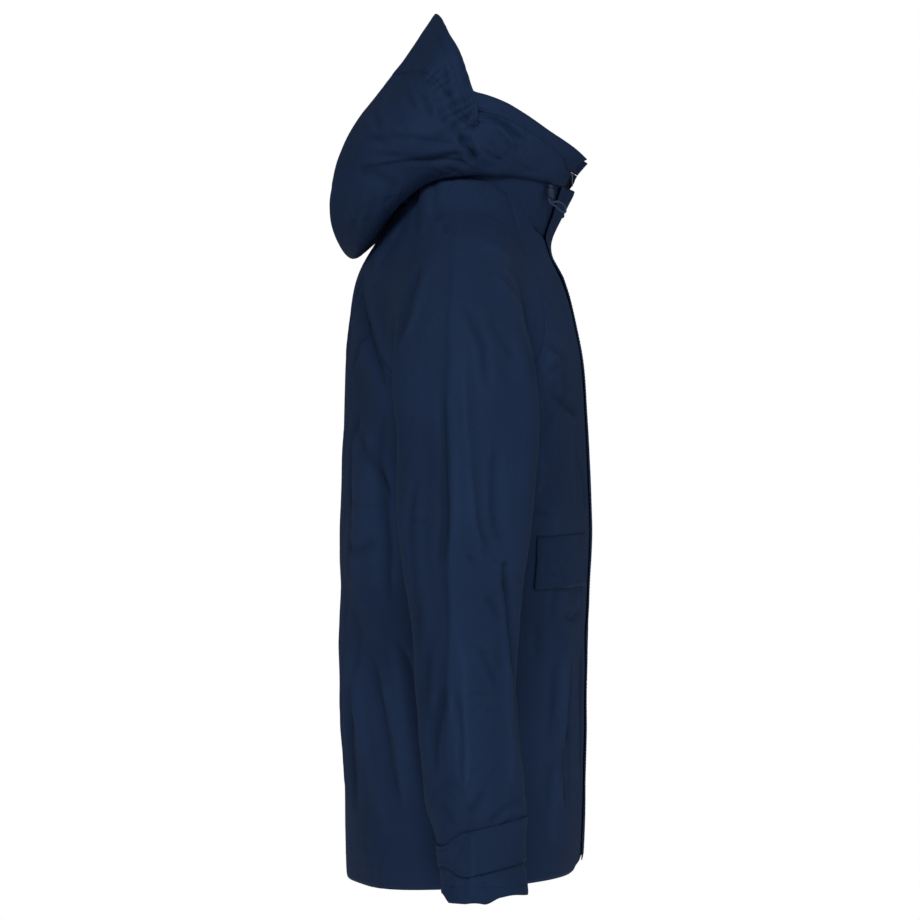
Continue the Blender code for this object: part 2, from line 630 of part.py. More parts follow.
def wall(name, grid, material, thickness=CLOTH, seams="", closed=False):
    """A closed wall from its outer grid; seams names the edges drawn back: bottom, top, left, right."""
    points, normals = grid[0].copy(), grid[1]
    rows, columns = points.shape[:2]
    shift = np.zeros_like(points)
    for seam in seams.split():
        edge, beside = (0, 1) if seam in ("bottom", "left") else (-1, -2)
        crosswise = seam in ("left", "right")
        lines, skins, moved = (a.swapaxes(0, 1) if crosswise else a for a in (points, normals, shift))
        line = lines[edge]
        if closed:
            along = np.roll(line, -1, axis=0) - np.roll(line, 1, axis=0)
        else:
            along = np.gradient(line, axis=0)
        inward = unit(np.cross(skins[edge], along))
        inward *= np.sign((inward * (lines[beside] - line)).sum(axis=1, keepdims=True))
        moved[edge] += inward * SEAM_GAP / 2
    outer = points + shift
    inner = outer - normals * thickness
    verts = np.concatenate((outer.reshape(-1, 3), inner.reshape(-1, 3)))
    count = rows * columns

    def at(i, j):
        return i * columns + j % columns

    faces = []
    for i in range(rows - 1):
        for j in range(columns if closed else columns - 1):
            a, b, c, d = at(i, j), at(i, j + 1), at(i + 1, j + 1), at(i + 1, j)
            for tri in ((a, b, c), (a, c, d)):
                faces.append(tri)
                faces.append(tuple(count + v for v in reversed(tri)))
    span = range(columns if closed else columns - 1)
    rims = [(at(0, j + 1), at(0, j)) for j in span]
    rims += [(at(rows - 1, j), at(rows - 1, j + 1)) for j in span]
    if not closed:
        rims += [(at(i, 0), at(i + 1, 0)) for i in range(rows - 1)]
        rims += [(at(i + 1, columns - 1), at(i, columns - 1)) for i in range(rows - 1)]
    for a, b in rims:
        one, other = verts[a] - verts[count + b], verts[b] - verts[count + a]
        if np.linalg.norm(one) < np.linalg.norm(other):
            faces += [(a, b, count + b), (a, count + b, count + a)]
        else:
            faces += [(a, b, count + a), (b, count + b, count + a)]
    return new_object(name, verts, faces, material)


def material(name, colour, roughness, metallic=0.0):
    made = bpy.data.materials.new(name)
    made.use_nodes = True
    shader = made.node_tree.nodes["Principled BSDF"]
    shader.inputs["Base Color"].default_value = (*colour, 1.0)
    shader.inputs["Roughness"].default_value = roughness
    shader.inputs["Metallic"].default_value = metallic
    made.diffuse_color = (*colour, 1.0)
    return made


# ---- small pieces laid on the cloth ----
def storm_flap(front, collar):
    """Flap over the zip, made from the fronts' points, its upper end standing off the collar."""
    points, normals = centre_strip(front, collar, ((RIGHT, 1), (RIGHT, 0), (LEFT, 0), (LEFT, 1)))
    seam_row = len(front[0]) - 1
    last = seam_row + 2
    points, normals = points[:last + 1], normals[:last + 1]
    rise = np.array([max(0.0, (i - seam_row) / 2) for i in range(last + 1)])
    grid = lifted((points, normals), LAY_GAP + CLOTH + FLAP_TIP * rise)
    wall("storm_flap", grid, shell_cloth)


def zip_parts(front, collar):
    """Tape behind the fronts' edges, the chain on it, and the slider with its pull tab at the top."""
    tape = centre_strip(front, collar, ((RIGHT, TAPE_SHARE), (RIGHT, 0), (LEFT, 0), (LEFT, TAPE_SHARE)))
    tape = lifted(tape, -(CLOTH + SEAM_GAP))
    wall("zip_tape", tape, zip_cloth, thickness=TAPE)
    right, left = tape[0][:, 1], tape[0][:, 2]
    share = CHAIN_HALF / ZIP_HALF_GAP
    middle = (right + left) / 2
    chain = np.stack((middle + (right - middle) * share, middle + (left - middle) * share), axis=1)
    skin = unit(tape[1][:, 1:2] + tape[1][:, 2:3])
    chain = lifted((chain, np.concatenate((skin, skin), axis=1)), SEAM_GAP + CHAIN)
    wall("zip_chain", chain, zip_plastic, thickness=CHAIN)
    top, below = chain[0][-1].mean(axis=0), chain[0][-2].mean(axis=0)
    run = unit(top - below)
    share = (SLIDER_Z - top[2]) / run[2]
    seat = top + run * share
    tilt = math.atan2(-run[1], run[2])
    slider(seat, tilt)
    pull_tab(seat, tilt)


def box(name, size, centre):
    bpy.ops.mesh.primitive_cube_add(size=1.0, location=centre)
    obj = bpy.context.active_object
    obj.name = name
    obj.scale = size
    bpy.ops.object.transform_apply(location=True, rotation=False, scale=True)
    return obj


def add_modifier(obj, kind, **settings):
    modifier = obj.modifiers.new(kind.title(), kind)
    for key, value in settings.items():
        setattr(modifier, key, value)
    return modifier


def into_collection(obj, collection):
    for own in list(obj.users_collection):
        own.objects.unlink(obj)
    collection.objects.link(obj)


def cutter(obj):
    into_collection(obj, cutters)
    obj.hide_render = True
    obj.display_type = "WIRE"
    return obj


def finish(name, obj, made_of):
    obj.name = name
    obj.data.name = name
    obj.data.materials.clear()
    obj.data.materials.append(made_of)
    into_collection(obj, jacket)
    return obj


def place(obj, seat, tilt):
    """Set a piece modelled about the origin onto the zip, leaning with it."""
    obj.location = seat
    obj.rotation_euler = (tilt, 0.0, 0.0)


def tube(name, points, radius):
    """A round bar along a poly line as a closed mesh."""
    curve = bpy.data.curves.new(name, "CURVE")
    curve.dimensions = "3D"
    curve.bevel_depth = radius
    curve.bevel_resolution = BAR_RESOLUTION
    curve.use_fill_caps = True
    spline_line = curve.splines.new("POLY")
    spline_line.points.add(len(points) - 1)
    for own, point in zip(spline_line.points, points):
        own.co = (*point, 1.0)
    obj = bpy.data.objects.new(name, curve)
    bpy.context.scene.collection.objects.link(obj)
    evaluated = obj.evaluated_get(bpy.context.evaluated_depsgraph_get())
    mesh = bpy.data.meshes.new_from_object(evaluated)
    bpy.data.objects.remove(obj)
    bm = bmesh.new()
    bm.from_mesh(mesh)
    bmesh.ops.remove_doubles(bm, verts=bm.verts, dist=MERGE)
    bmesh.ops.recalc_face_normals(bm, faces=bm.faces)
    bm.to_mesh(mesh)
    bm.free()
    made = bpy.data.objects.new(name, mesh)
    bpy.context.scene.collection.objects.link(made)
    return made


def slider(seat, tilt):
    """Plate in front of the chain with an arch for the pull tab; its outer face is the local zero."""
    face = -SEAM_GAP - SLIDER_PLATE
    plate = box("zip_slider", (SLIDER_WIDTH, SLIDER_PLATE, SLIDER_LENGTH), (0, face + SLIDER_PLATE / 2, 0))
    add_modifier(plate, "BEVEL", width=PLATE_BEVEL, segments=2)
    foot, top = face + SLIDER_PLATE / 2, face - ARCH_HEIGHT
    shoulder, straight = top + ARCH_ROUND, ARCH_HALF - ARCH_ROUND
    arch = tube("arch", ((0, foot, -ARCH_HALF), (0, shoulder, -ARCH_HALF), (0, top, -straight),
                         (0, top, straight), (0, shoulder, ARCH_HALF), (0, foot, ARCH_HALF)), ARCH_BAR)
    add_modifier(plate, "BOOLEAN", operation="UNION", object=cutter(arch))
    finish("zip_slider", plate, zip_plastic)
    place(plate, seat, tilt)
    place(arch, seat, tilt)


def pull_tab(seat, tilt):
    """Flat tab whose top bar passes under the arch; it turns about that bar and hangs straight down."""
    face = -SEAM_GAP - SLIDER_PLATE
    bar = (0.0, face - BAR_OFF, BAR_HALF + SEAM_GAP + ARCH_BAR - ARCH_HALF)
    axis = mathutils.Vector(seat) + mathutils.Matrix.Rotation(tilt, 3, "X") @ mathutils.Vector(bar)
    tab = box("zip_pull", (PULL_WIDTH, 2 * BAR_HALF, PULL_LENGTH), (0, 0, BAR_HALF - PULL_LENGTH / 2))
    eye = box("pull_eye", (EYE_WIDTH, EYE_CUT, EYE_LENGTH), (0, 0, -BAR_HALF - EYE_LENGTH / 2))
    add_modifier(tab, "BOOLEAN", operation="DIFFERENCE", object=cutter(eye))
    add_modifier(tab, "BEVEL", width=TAB_BEVEL, segments=1, limit_method="ANGLE")
    finish("zip_pull", tab, pull_metal)
    tab.location = axis
    eye.location = axis


def cuff_strap(name, sleeve, flip):
    """Strap round the outside of the cuff, narrower behind where its end is sewn down."""
    first = CAP_ROWS + ARM_ROWS
    points, normals = (a[first:first + 3, STRAP_FIRST:STRAP_LAST + 1] for a in sleeve)
    rows, skins = np.empty_like(points), np.empty_like(points)
    for j in range(points.shape[1]):
        beyond = max(0, j + STRAP_FIRST - STRAP_FULL)
        width = STRAP_END / STRAP_WIDE if beyond else 1.0
        rise = STRAP_LIFT + CLOTH + STRAP_END_LIFT * max(0, beyond - 1) / (STRAP_LAST - STRAP_FULL - 1)
        for k in range(3):
            level = 1 + (k - 1) * width
            skins[k, j] = unit([np.interp(level, range(3), normals[:, j, axis]) for axis in range(3)])
            rows[k, j] = [np.interp(level, range(3), points[:, j, axis]) for axis in range(3)]
            rows[k, j] += skins[k, j] * rise
    grid = rows, skins
    wall(name, mirrored(grid) if flip else grid, shell_cloth)


def pocket_flap(name, front, flip):
    """Flap on the lower front over the pocket's mouth, made from the front's points."""
    cut = slice(POCKET_LOW_ROW, POCKET_TOP_ROW + 1), slice(POCKET_FIRST, POCKET_LAST + 1)
    sewn = LAY_GAP + CLOTH
    heights = np.linspace(sewn + POCKET_EDGE_LIFT, sewn, POCKET_TOP_ROW + 1 - POCKET_LOW_ROW)
    grid = lifted((front[0][cut], front[1][cut]), heights)
    wall(name, mirrored(grid) if flip else grid, shell_cloth)


def drawcord(side, flip):
    """Cord lock under the hood's edge and the cord's loop that hangs from it."""
    lock = polar(LOCK_ANGLE, LOCK_RADIUS, LOCK_Z)
    bpy.ops.mesh.primitive_cylinder_add(vertices=16, radius=LOCK_THICK / 2, depth=LOCK_LENGTH)
    body_piece = bpy.context.active_object
    add_modifier(body_piece, "BEVEL", width=LOCK_BEVEL, segments=2, limit_method="ANGLE")
    finish("cord_lock_" + side, body_piece, lock_plastic)
    body_piece.location = mirror(lock) if flip else lock
    low = polar(LOOP_ANGLE, LOOP_RADIUS, LOOP_Z)
    outward = unit(lock - polar(LOCK_ANGLE, 0.0, LOCK_Z))
    sideways = unit(np.cross(outward, (0.0, 0.0, 1.0)))
    heading = unit(low - lock)
    across = unit(np.cross(heading, outward))
    across *= math.copysign(LOOP_SPREAD, across @ sideways)
    exit_hole = lock - (0.0, 0.0, LOCK_LENGTH / 2 + SEAM_GAP)
    start, end = exit_hole + sideways * LOOP_APART, exit_hole - sideways * LOOP_APART
    straight = np.array((0.0, 0.0, LOOP_START))
    guide = (start, start - straight, (start + low) / 2 + across, low + across,
             low + heading * LOOP_SPREAD, low - across, (end + low) / 2 - across, end - straight, end)
    line = smooth_line(guide, CORD_POINTS)
    loop = tube("drawcord_" + side, [mirror(p) if flip else p for p in line], CORD_RADIUS)
    finish("drawcord_" + side, loop, cord_cloth)
    loop.data.shade_smooth()


def smooth_line(guide, count):
    """Even points on a smooth curve through the guide points."""
    guide = np.array(guide, dtype=float)
    marks = np.concatenate(([0.0], np.cumsum(np.linalg.norm(np.diff(guide, axis=0), axis=1))))
    slopes = np.gradient(guide, marks, axis=0)
    return [smooth_between(marks, guide, slopes, key) for key in np.linspace(0.0, marks[-1], count)]


for old in list(bpy.data.objects):
    bpy.data.objects.remove(old)
jacket = bpy.data.collections.new("hooded_jacket")
cutters = bpy.data.collections.new("cutters")
bpy.context.scene.collection.children.link(jacket)
bpy.context.scene.collection.children.link(cutters)

shell_cloth = material("shell_cloth", (0.011, 0.021, 0.048), 0.55)
zip_cloth = material("zip_tape", (0.009, 0.017, 0.038), 0.7)
zip_plastic = material("zip_plastic", (0.012, 0.018, 0.035), 0.4)
pull_metal = material("pull_metal", (0.45, 0.45, 0.47), 0.35, 1.0)
lock_plastic = material("lock_plastic", (0.013, 0.026, 0.060), 0.45)
cord_cloth = material("cord_cloth", (0.022, 0.045, 0.095), 0.75)

front_cut, back_cut = front_grid(), back_grid()
collar_cut = collar_grid(front_cut, back_cut)
wall("front_right", front_cut, shell_cloth, seams="right top")
wall("front_left", mirrored(front_cut), shell_cloth, seams="right top")
wall("back", back_cut, shell_cloth, seams="left right top")
wall("collar", collar_cut, shell_cloth, seams="bottom")
for side, flip in (("right", False), ("left", True)):
    sleeve = sleeve_grid(LEFT_TURN if flip else 0.0)
    wall("sleeve_" + side, mirrored(sleeve) if flip else sleeve, shell_cloth, seams="bottom", closed=True)
    cuff_strap("cuff_strap_" + side, sleeve, flip)
    pocket_flap("pocket_flap_" + side, front_cut, flip)
    drawcord(side, flip)

side_levels = [BROW * i / HOOD_ROWS for i in range(HOOD_ROWS + 1)]
rim_levels = [BROW, (1 + BROW) / 2, 1.0]
peak_levels = [BROW + (1 - BROW) * i / PEAK_ROWS for i in range(PEAK_ROWS + 1)]
peak_angles = PEAK_ANGLES + tuple(360 - a for a in reversed(PEAK_ANGLES[:-1]))
for side, flip in (("right", False), ("left", True)):
    side_angles = [360 - a if flip else a for a in SIDE_ANGLES]
    rim_angles = [360 - a if flip else a for a in CASING_ANGLES]
    wall("hood_side_" + side, hood_grid(side_angles, side_levels), shell_cloth, seams="right top")
    wall("hood_casing_" + side, hood_grid(rim_angles, rim_levels), shell_cloth, seams="bottom")
wall("hood_centre", hood_grid(CENTRE_ANGLES, side_levels), shell_cloth, seams="left right top")
wall("hood_peak", hood_grid(peak_angles, peak_levels), shell_cloth, seams="bottom")
storm_flap(front_cut, collar_cut)
zip_parts(front_cut, collar_cut)
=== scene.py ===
import math

import bmesh
import bpy
import numpy as np
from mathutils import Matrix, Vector, noise
from mathutils.bvhtree import BVHTree
from mathutils.kdtree import KDTree


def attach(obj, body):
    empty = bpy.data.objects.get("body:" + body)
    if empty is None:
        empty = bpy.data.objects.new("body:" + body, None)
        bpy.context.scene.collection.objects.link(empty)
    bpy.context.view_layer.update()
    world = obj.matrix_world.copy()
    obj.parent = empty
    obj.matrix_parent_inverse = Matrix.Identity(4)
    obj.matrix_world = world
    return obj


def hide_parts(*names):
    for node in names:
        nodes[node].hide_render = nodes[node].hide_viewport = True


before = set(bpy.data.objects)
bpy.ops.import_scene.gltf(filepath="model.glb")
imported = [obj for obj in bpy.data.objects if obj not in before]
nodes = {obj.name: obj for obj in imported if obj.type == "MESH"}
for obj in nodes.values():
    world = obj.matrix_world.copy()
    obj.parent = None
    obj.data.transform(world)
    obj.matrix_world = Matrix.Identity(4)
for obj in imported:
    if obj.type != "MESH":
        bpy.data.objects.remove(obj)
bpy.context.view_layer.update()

# Metres, +Z up. The front of the jacket faces -Y and the wearer's left is +X.
# Folds are placed as the side view shows them: millimetres forward of and above the neck's middle.

scene = bpy.context.scene
print("frame loaded:", len(nodes), "nodes")


def deselectAll():
    bpy.ops.object.select_all(action="DESELECT")


def makeActive(piece):
    deselectAll()
    piece.select_set(True)
    bpy.context.view_layer.objects.active = piece


def applyModifier(piece, kind, **settings):
    makeActive(piece)
    modifier = piece.modifiers.new(kind.title(), kind)
    for key, value in settings.items():
        setattr(modifier, key, value)
    bpy.ops.object.modifier_apply(modifier=modifier.name)


def smoothStep(values, low, high):
    share = np.clip((values - low) / (high - low), 0.0, 1.0)
    return share * share * (3 - 2 * share)


def unitRows(rows):
    return rows / np.maximum(np.linalg.norm(rows, axis=-1, keepdims=True), 1e-12)


def lengthsAlong(line):
    return np.concatenate(([0.0], np.cumsum(np.linalg.norm(np.diff(line, axis=0), axis=1))))


def spotOn(line, lengths, mark):    # the line's place, or its facing, at a length along it
    return np.array([np.interp(mark, lengths, line[:, k]) for k in range(3)])


def smoothRun(corners, count):    # even points on a smooth line through the corners
    corners = np.asarray(corners, dtype=float)
    marks = lengthsAlong(corners)
    slopes = np.gradient(corners, marks, axis=0)
    line = []
    for mark in np.linspace(0.0, marks[-1], count):
        i = min(int(np.searchsorted(marks, mark, side="right")) - 1, len(marks) - 2)
        step = marks[i + 1] - marks[i]
        t = (mark - marks[i]) / step
        line.append((1 + 2 * t) * (1 - t) ** 2 * corners[i] + t * (1 - t) ** 2 * step * slopes[i]
                    + t * t * (3 - 2 * t) * corners[i + 1] - t * t * (1 - t) * step * slopes[i + 1])
    return np.array(line)


def treeOf(meshes):    # to find the nearest spot on several meshes
    corners, faces = [], []
    for mesh in meshes:
        faces += [tuple(len(corners) + i for i in face.vertices) for face in mesh.polygons]
        corners += [v.co.copy() for v in mesh.vertices]
    return BVHTree.FromPolygons(corners, faces)


def solidTree(names):
    return treeOf([nodes[name].data for name in names])


# camera, as the photo was taken
cameraView = {"place": (-5.0, 0.0055, -0.2695), "lens": 177.87, "sensor": 36.0, "clipEnd": 60}
deselectAll()
bpy.ops.object.camera_add(location=cameraView["place"], rotation=(math.pi / 2, 0, -math.pi / 2))
camera = bpy.context.active_object
camera.name = "sideCamera"
camera.data.lens = cameraView["lens"]
camera.data.sensor_width = cameraView["sensor"]
camera.data.clip_end = cameraView["clipEnd"]
scene.camera = camera

# drawcords: each comes out of its lock, loops and goes back in
drawcord = {
    "radius": 0.0012,
    "points": 40,
    "guide": ((-0.06756, -0.09133, 0.0147), (-0.06756, -0.09133, 0.0117), (-0.06175, -0.09799, 0.00639),
              (-0.05408, -0.10606, 0.00054), (-0.05053, -0.10929, 0.00068), (-0.05034, -0.10888, 0.00546),
              (-0.05641, -0.10201, 0.01131), (-0.06436, -0.09373, 0.0117), (-0.06436, -0.09373, 0.0147)),
}


def makeDrawcord(side, mirror):
    route = smoothRun(drawcord["guide"], drawcord["points"]) * (mirror, 1, 1)
    curve = bpy.data.curves.new("drawcordLoop_" + side, "CURVE")
    curve.dimensions = "3D"
    curve.bevel_depth = 1.0    # the points' own radius gives the thickness
    curve.bevel_resolution = 3
    curve.use_fill_caps = True
    line = curve.splines.new("POLY")
    line.points.add(len(route) - 1)
    for own, place in zip(line.points, route):
        own.co = (*place, 1)
        own.radius = drawcord["radius"]
    cord = bpy.data.objects.new("drawcordLoop_" + side, curve)
    scene.collection.objects.link(cord)
    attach(cord, "jacket")
    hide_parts("drawcord_" + side)
    return cord


cords = [makeDrawcord("right", 1), makeDrawcord("left", -1)]
print("camera and drawcords made")


def nodeGroup(name, inputs, outputs):
    group = bpy.data.node_groups.new(name, "ShaderNodeTree")
    for label, kind, value in inputs:
        made = group.interface.new_socket(label, in_out="INPUT", socket_type=kind)
        if value is not None:
            made.default_value = value
    for label, kind in outputs:
        group.interface.new_socket(label, in_out="OUTPUT", socket_type=kind)
    return group, group.nodes.new("NodeGroupInput"), group.nodes.new("NodeGroupOutput")


def mathNode(tree, operation, first, second=None, third=None):
    made = tree.nodes.new("ShaderNodeMath")
    made.operation = operation
    for socket, value in zip(made.inputs, (first, second, third)):
        if isinstance(value, bpy.types.NodeSocket):
            tree.links.new(value, socket)
        elif value is not None:
            socket.default_value = value
    return made.outputs[0]


def noiseNode(tree, vector, scale, detail=2.0, distortion=0.0):
    made = tree.nodes.new("ShaderNodeTexNoise")
    made.inputs["Detail"].default_value = detail
    made.inputs["Distortion"].default_value = distortion
    tree.links.new(vector, made.inputs["Vector"])
    if isinstance(scale, bpy.types.NodeSocket):
        tree.links.new(scale, made.inputs["Scale"])
    else:
        made.inputs["Scale"].default_value = scale
    return made.outputs["Fac"]


# plain weave on a piece's own map in metres: threads over and under, and how they differ in tone
weaveGroup, groupIn, groupOut = nodeGroup(
    "plainWeave", (("Map", "NodeSocketVector", None), ("Threads per metre", "NodeSocketFloat", 2200.0)),
    (("Height", "NodeSocketFloat"), ("Tone", "NodeSocketFloat")))
parted = weaveGroup.nodes.new("ShaderNodeSeparateXYZ")
weaveGroup.links.new(groupIn.outputs["Map"], parted.inputs[0])
turns = mathNode(weaveGroup, "MULTIPLY", groupIn.outputs["Threads per metre"], math.pi)
across = mathNode(weaveGroup, "SINE", mathNode(weaveGroup, "MULTIPLY", parted.outputs["X"], turns))
along = mathNode(weaveGroup, "SINE", mathNode(weaveGroup, "MULTIPLY", parted.outputs["Y"], turns))
crossed = mathNode(weaveGroup, "MULTIPLY", across, along)
weaveGroup.links.new(mathNode(weaveGroup, "MULTIPLY_ADD", crossed, 0.5, 0.5), groupOut.inputs["Height"])
streaks = noiseNode(weaveGroup, groupIn.outputs["Map"], 900.0, 1.0)
weaveGroup.links.new(streaks, groupOut.inputs["Tone"])

# cloth's slow changes of tone and its small crumples
handleGroup, groupIn, groupOut = nodeGroup(
    "handledCloth", (("Place", "NodeSocketVector", None), ("Crumple size", "NodeSocketFloat", 60.0)),
    (("Tone", "NodeSocketFloat"), ("Crumples", "NodeSocketFloat")))
handleGroup.links.new(noiseNode(handleGroup, groupIn.outputs["Place"], 9.0, 3.0), groupOut.inputs["Tone"])
crumples = noiseNode(handleGroup, groupIn.outputs["Place"], groupIn.outputs["Crumple size"], 4.0, 0.8)
hanging = handleGroup.nodes.new("ShaderNodeVectorMath")    # longer from top to bottom
hanging.operation = "MULTIPLY"
hanging.inputs[1].default_value = (1.0, 1.0, 0.22)
handleGroup.links.new(groupIn.outputs["Place"], hanging.inputs[0])
drawn = noiseNode(handleGroup, hanging.outputs[0], 42.0, 3.0, 0.5)
drawn = mathNode(handleGroup, "MULTIPLY_ADD", drawn, 1.6, crumples)
handleGroup.links.new(drawn, groupOut.inputs["Crumples"])

# groove of a stitched row at a given distance from an edge, from that distance in millimetres
rowGroup, groupIn, groupOut = nodeGroup(
    "stitchRow", (("Distance", "NodeSocketFloat", 99.0), ("Row", "NodeSocketFloat", 6.0),
                  ("Half width", "NodeSocketFloat", 0.9)), (("Groove", "NodeSocketFloat"),))
away = mathNode(rowGroup, "SUBTRACT", groupIn.outputs["Distance"], groupIn.outputs["Row"])
share = mathNode(rowGroup, "DIVIDE", mathNode(rowGroup, "ABSOLUTE", away), groupIn.outputs["Half width"])
groove = mathNode(rowGroup, "SUBTRACT", 1.0, share)
rowGroup.links.new(mathNode(rowGroup, "MAXIMUM", groove, 0.0), groupOut.inputs["Groove"])


def placeGroup(tree, group, **values):
    made = tree.nodes.new("ShaderNodeGroup")
    made.node_tree = group
    for label, value in values.items():
        socket = made.inputs[label.replace("_", " ")]
        if isinstance(value, bpy.types.NodeSocket):
            tree.links.new(value, socket)
        else:
            socket.default_value = value
    return made


def readAttribute(tree, name):
    made = tree.nodes.new("ShaderNodeAttribute")
    made.attribute_name = name
    return made.outputs["Fac"]


def newMaterial(name, **values):
    made = bpy.data.materials.new(name)
    made.use_nodes = True
    shader = made.node_tree.nodes["Principled BSDF"]
    for label, value in values.items():
        shader.inputs[label.replace("_", " ")].default_value = value
    return made, made.node_tree, shader


def tones(tree, mask, dark, light, target):    # a colour that goes from dark to light with the mask
    mix = tree.nodes.new("ShaderNodeMix")
    mix.data_type = "RGBA"
    mix.inputs["A"].default_value = (*dark, 1)
    mix.inputs["B"].default_value = (*light, 1)
    tree.links.new(mask, mix.inputs["Factor"])
    tree.links.new(mix.outputs["Result"], target)


def levels(tree, value, *ends):    # maps the first low and high to the second
    made = tree.nodes.new("ShaderNodeMapRange")
    for label, number in zip(("From Min", "From Max", "To Min", "To Max"), ends):
        made.inputs[label].default_value = number
    tree.links.new(value, made.inputs["Value"])
    return made.outputs["Result"]


def bumpNode(tree, height, distance, strength, before=None):
    made = tree.nodes.new("ShaderNodeBump")
    made.inputs["Distance"].default_value = distance
    made.inputs["Strength"].default_value = strength
    tree.links.new(height, made.inputs["Height"])
    if before is not None:
        tree.links.new(before, made.inputs["Normal"])
    return made.outputs["Normal"]


shellLook = {
    # the fold entry is how much painted shade the fold height puts in the base colour
    "dark": (0.0176, 0.0360, 0.0895), "light": (0.0292, 0.0585, 0.1450), "paintedFoldShade": 0.12,
    "roughness": (0.58, 0.68), "specular": 0.10, "specularTint": (0.45, 0.68, 1.0, 1),
    "sheen": 0.04, "sheenRoughness": 0.5, "sheenTint": (0.25, 0.45, 1.0, 1), "threads": 2200.0,
    "weaveDepth": 0.00006, "crumpleSize": 70.0, "crumpleDepth": 0.0022,
    "rowHalfWidth": 1.1, "rowDepth": 0.0006,    # groove along a stitched row: millimetres; metres
}


def makeShellCloth():
    made, tree, shader = newMaterial(
        "shellCloth", Specular_IOR_Level=shellLook["specular"], Specular_Tint=shellLook["specularTint"],
        Sheen_Weight=shellLook["sheen"], Sheen_Roughness=shellLook["sheenRoughness"],
        Sheen_Tint=shellLook["sheenTint"])
    place = tree.nodes.new("ShaderNodeTexCoord").outputs["Object"]
    ownMap = tree.nodes.new("ShaderNodeUVMap")
    ownMap.uv_map = "clothMap"
    weave = placeGroup(tree, weaveGroup, Map=ownMap.outputs["UV"], Threads_per_metre=shellLook["threads"])
    handled = placeGroup(tree, handleGroup, Place=place, Crumple_size=shellLook["crumpleSize"])
    tone = mathNode(tree, "MULTIPLY_ADD", weave.outputs["Tone"], 0.3,
                    mathNode(tree, "MULTIPLY", handled.outputs["Tone"], 0.7))
    tone = mathNode(tree, "MULTIPLY_ADD", readAttribute(tree, "paintedFoldShade"), shellLook["paintedFoldShade"],
                    levels(tree, tone, 0.3, 0.7, 0.3, 0.7))    # painted shade: fold troughs darker and fold ridges lighter in the base colour, from the stored fold height
    spread = mathNode(tree, "MINIMUM", mathNode(tree, "MAXIMUM", tone, 0.0), 1.0)
    tones(tree, spread, shellLook["dark"], shellLook["light"], shader.inputs["Base Color"])
    tree.links.new(levels(tree, handled.outputs["Tone"], 0.3, 0.7, *shellLook["roughness"]),
                   shader.inputs["Roughness"])
    row = placeGroup(tree, rowGroup, Distance=readAttribute(tree, "stitchDistance"), Row=0.0,
                     Half_width=shellLook["rowHalfWidth"])
    raised = mathNode(tree, "SUBTRACT", 1.0, row.outputs["Groove"])
    normal = bumpNode(tree, handled.outputs["Crumples"], shellLook["crumpleDepth"], 0.5)
    normal = bumpNode(tree, raised, shellLook["rowDepth"], 0.8, normal)
    normal = bumpNode(tree, weave.outputs["Height"], shellLook["weaveDepth"], 0.5, normal)
    tree.links.new(normal, shader.inputs["Normal"])
    return made


plainFinishes = {    # dark, light, roughness, metallic, grain and its depth
    "sewingThread": ((0.010, 0.019, 0.044), (0.020, 0.036, 0.075), 0.6, 0.0, 3000.0, 0.00005),
    "zipTapeCloth": ((0.006, 0.012, 0.028), (0.012, 0.022, 0.048), 0.75, 0.0, 2500.0, 0.0001),
    "zipPlastic": ((0.009, 0.014, 0.028), (0.016, 0.024, 0.045), 0.38, 0.0, 900.0, 0.00004),
    "pullMetal": ((0.50, 0.51, 0.54), (0.66, 0.67, 0.70), 0.30, 1.0, 700.0, 0.00003),
    "lockPlastic": ((0.018, 0.045, 0.090), (0.030, 0.070, 0.130), 0.36, 0.0, 800.0, 0.00004),
    "braidedCord": ((0.030, 0.062, 0.130), (0.060, 0.115, 0.210), 0.7, 0.0, 1800.0, 0.0002),
}


def makePlainMaterial(name, dark, light, roughness, metallic, grain, depth):
    made, tree, shader = newMaterial(name, Metallic=metallic)
    place = tree.nodes.new("ShaderNodeTexCoord").outputs["Object"]
    fine = noiseNode(tree, place, grain, 3.0)
    tones(tree, levels(tree, fine, 0.35, 0.65, 0.0, 1.0), dark, light, shader.inputs["Base Color"])
    tree.links.new(levels(tree, fine, 0.3, 0.7, roughness - 0.06, roughness + 0.08),
                   shader.inputs["Roughness"])
    tree.links.new(bumpNode(tree, fine, depth, 0.5), shader.inputs["Normal"])
    return made


finishes = {name: makePlainMaterial(name, *look) for name, look in plainFinishes.items()}
finishes["shellCloth"] = makeShellCloth()
for cord in cords:
    cord.data.materials.append(finishes["braidedCord"])
print("materials made:", len(finishes))


# cloth made from a node's own outer side
clothLook = {"merge": 0.00001, "rim": 0.0026, "thickness": 0.0011, "mapCell": 0.02, "smoothing": 3}


def pointsOf(piece):
    points = np.empty(len(piece.data.vertices) * 3)
    piece.data.vertices.foreach_get("co", points)
    return points.reshape(-1, 3)


def normalsOf(piece):
    normals = np.empty(len(piece.data.vertices) * 3)
    piece.data.vertex_normals.foreach_get("vector", normals)
    return normals.reshape(-1, 3)


def setPoints(piece, points):
    piece.data.vertices.foreach_set("co", points.astype(np.float32).ravel())
    piece.data.update()


def setAttribute(piece, name, values):
    made = piece.data.attributes.new(name, "FLOAT", "POINT")
    made.data.foreach_set("value", values.astype(np.float32))


def largestIsland(bm, turn):    # the largest run of faces, parted where their facing's cosine is under turn
    seen, best, bestArea = set(), [], 0.0
    for start in bm.faces:
        if start in seen:
            continue
        stack, island = [start], []
        seen.add(start)
        while stack:
            face = stack.pop()
            island.append(face)
            for edge in face.edges:
                for other in edge.link_faces:
                    if other not in seen and other.normal.dot(face.normal) > turn:
                        seen.add(other)
                        stack.append(other)
        area = sum(face.calc_area() for face in island)
        if area > bestArea:
            best, bestArea = island, area
    return set(best)


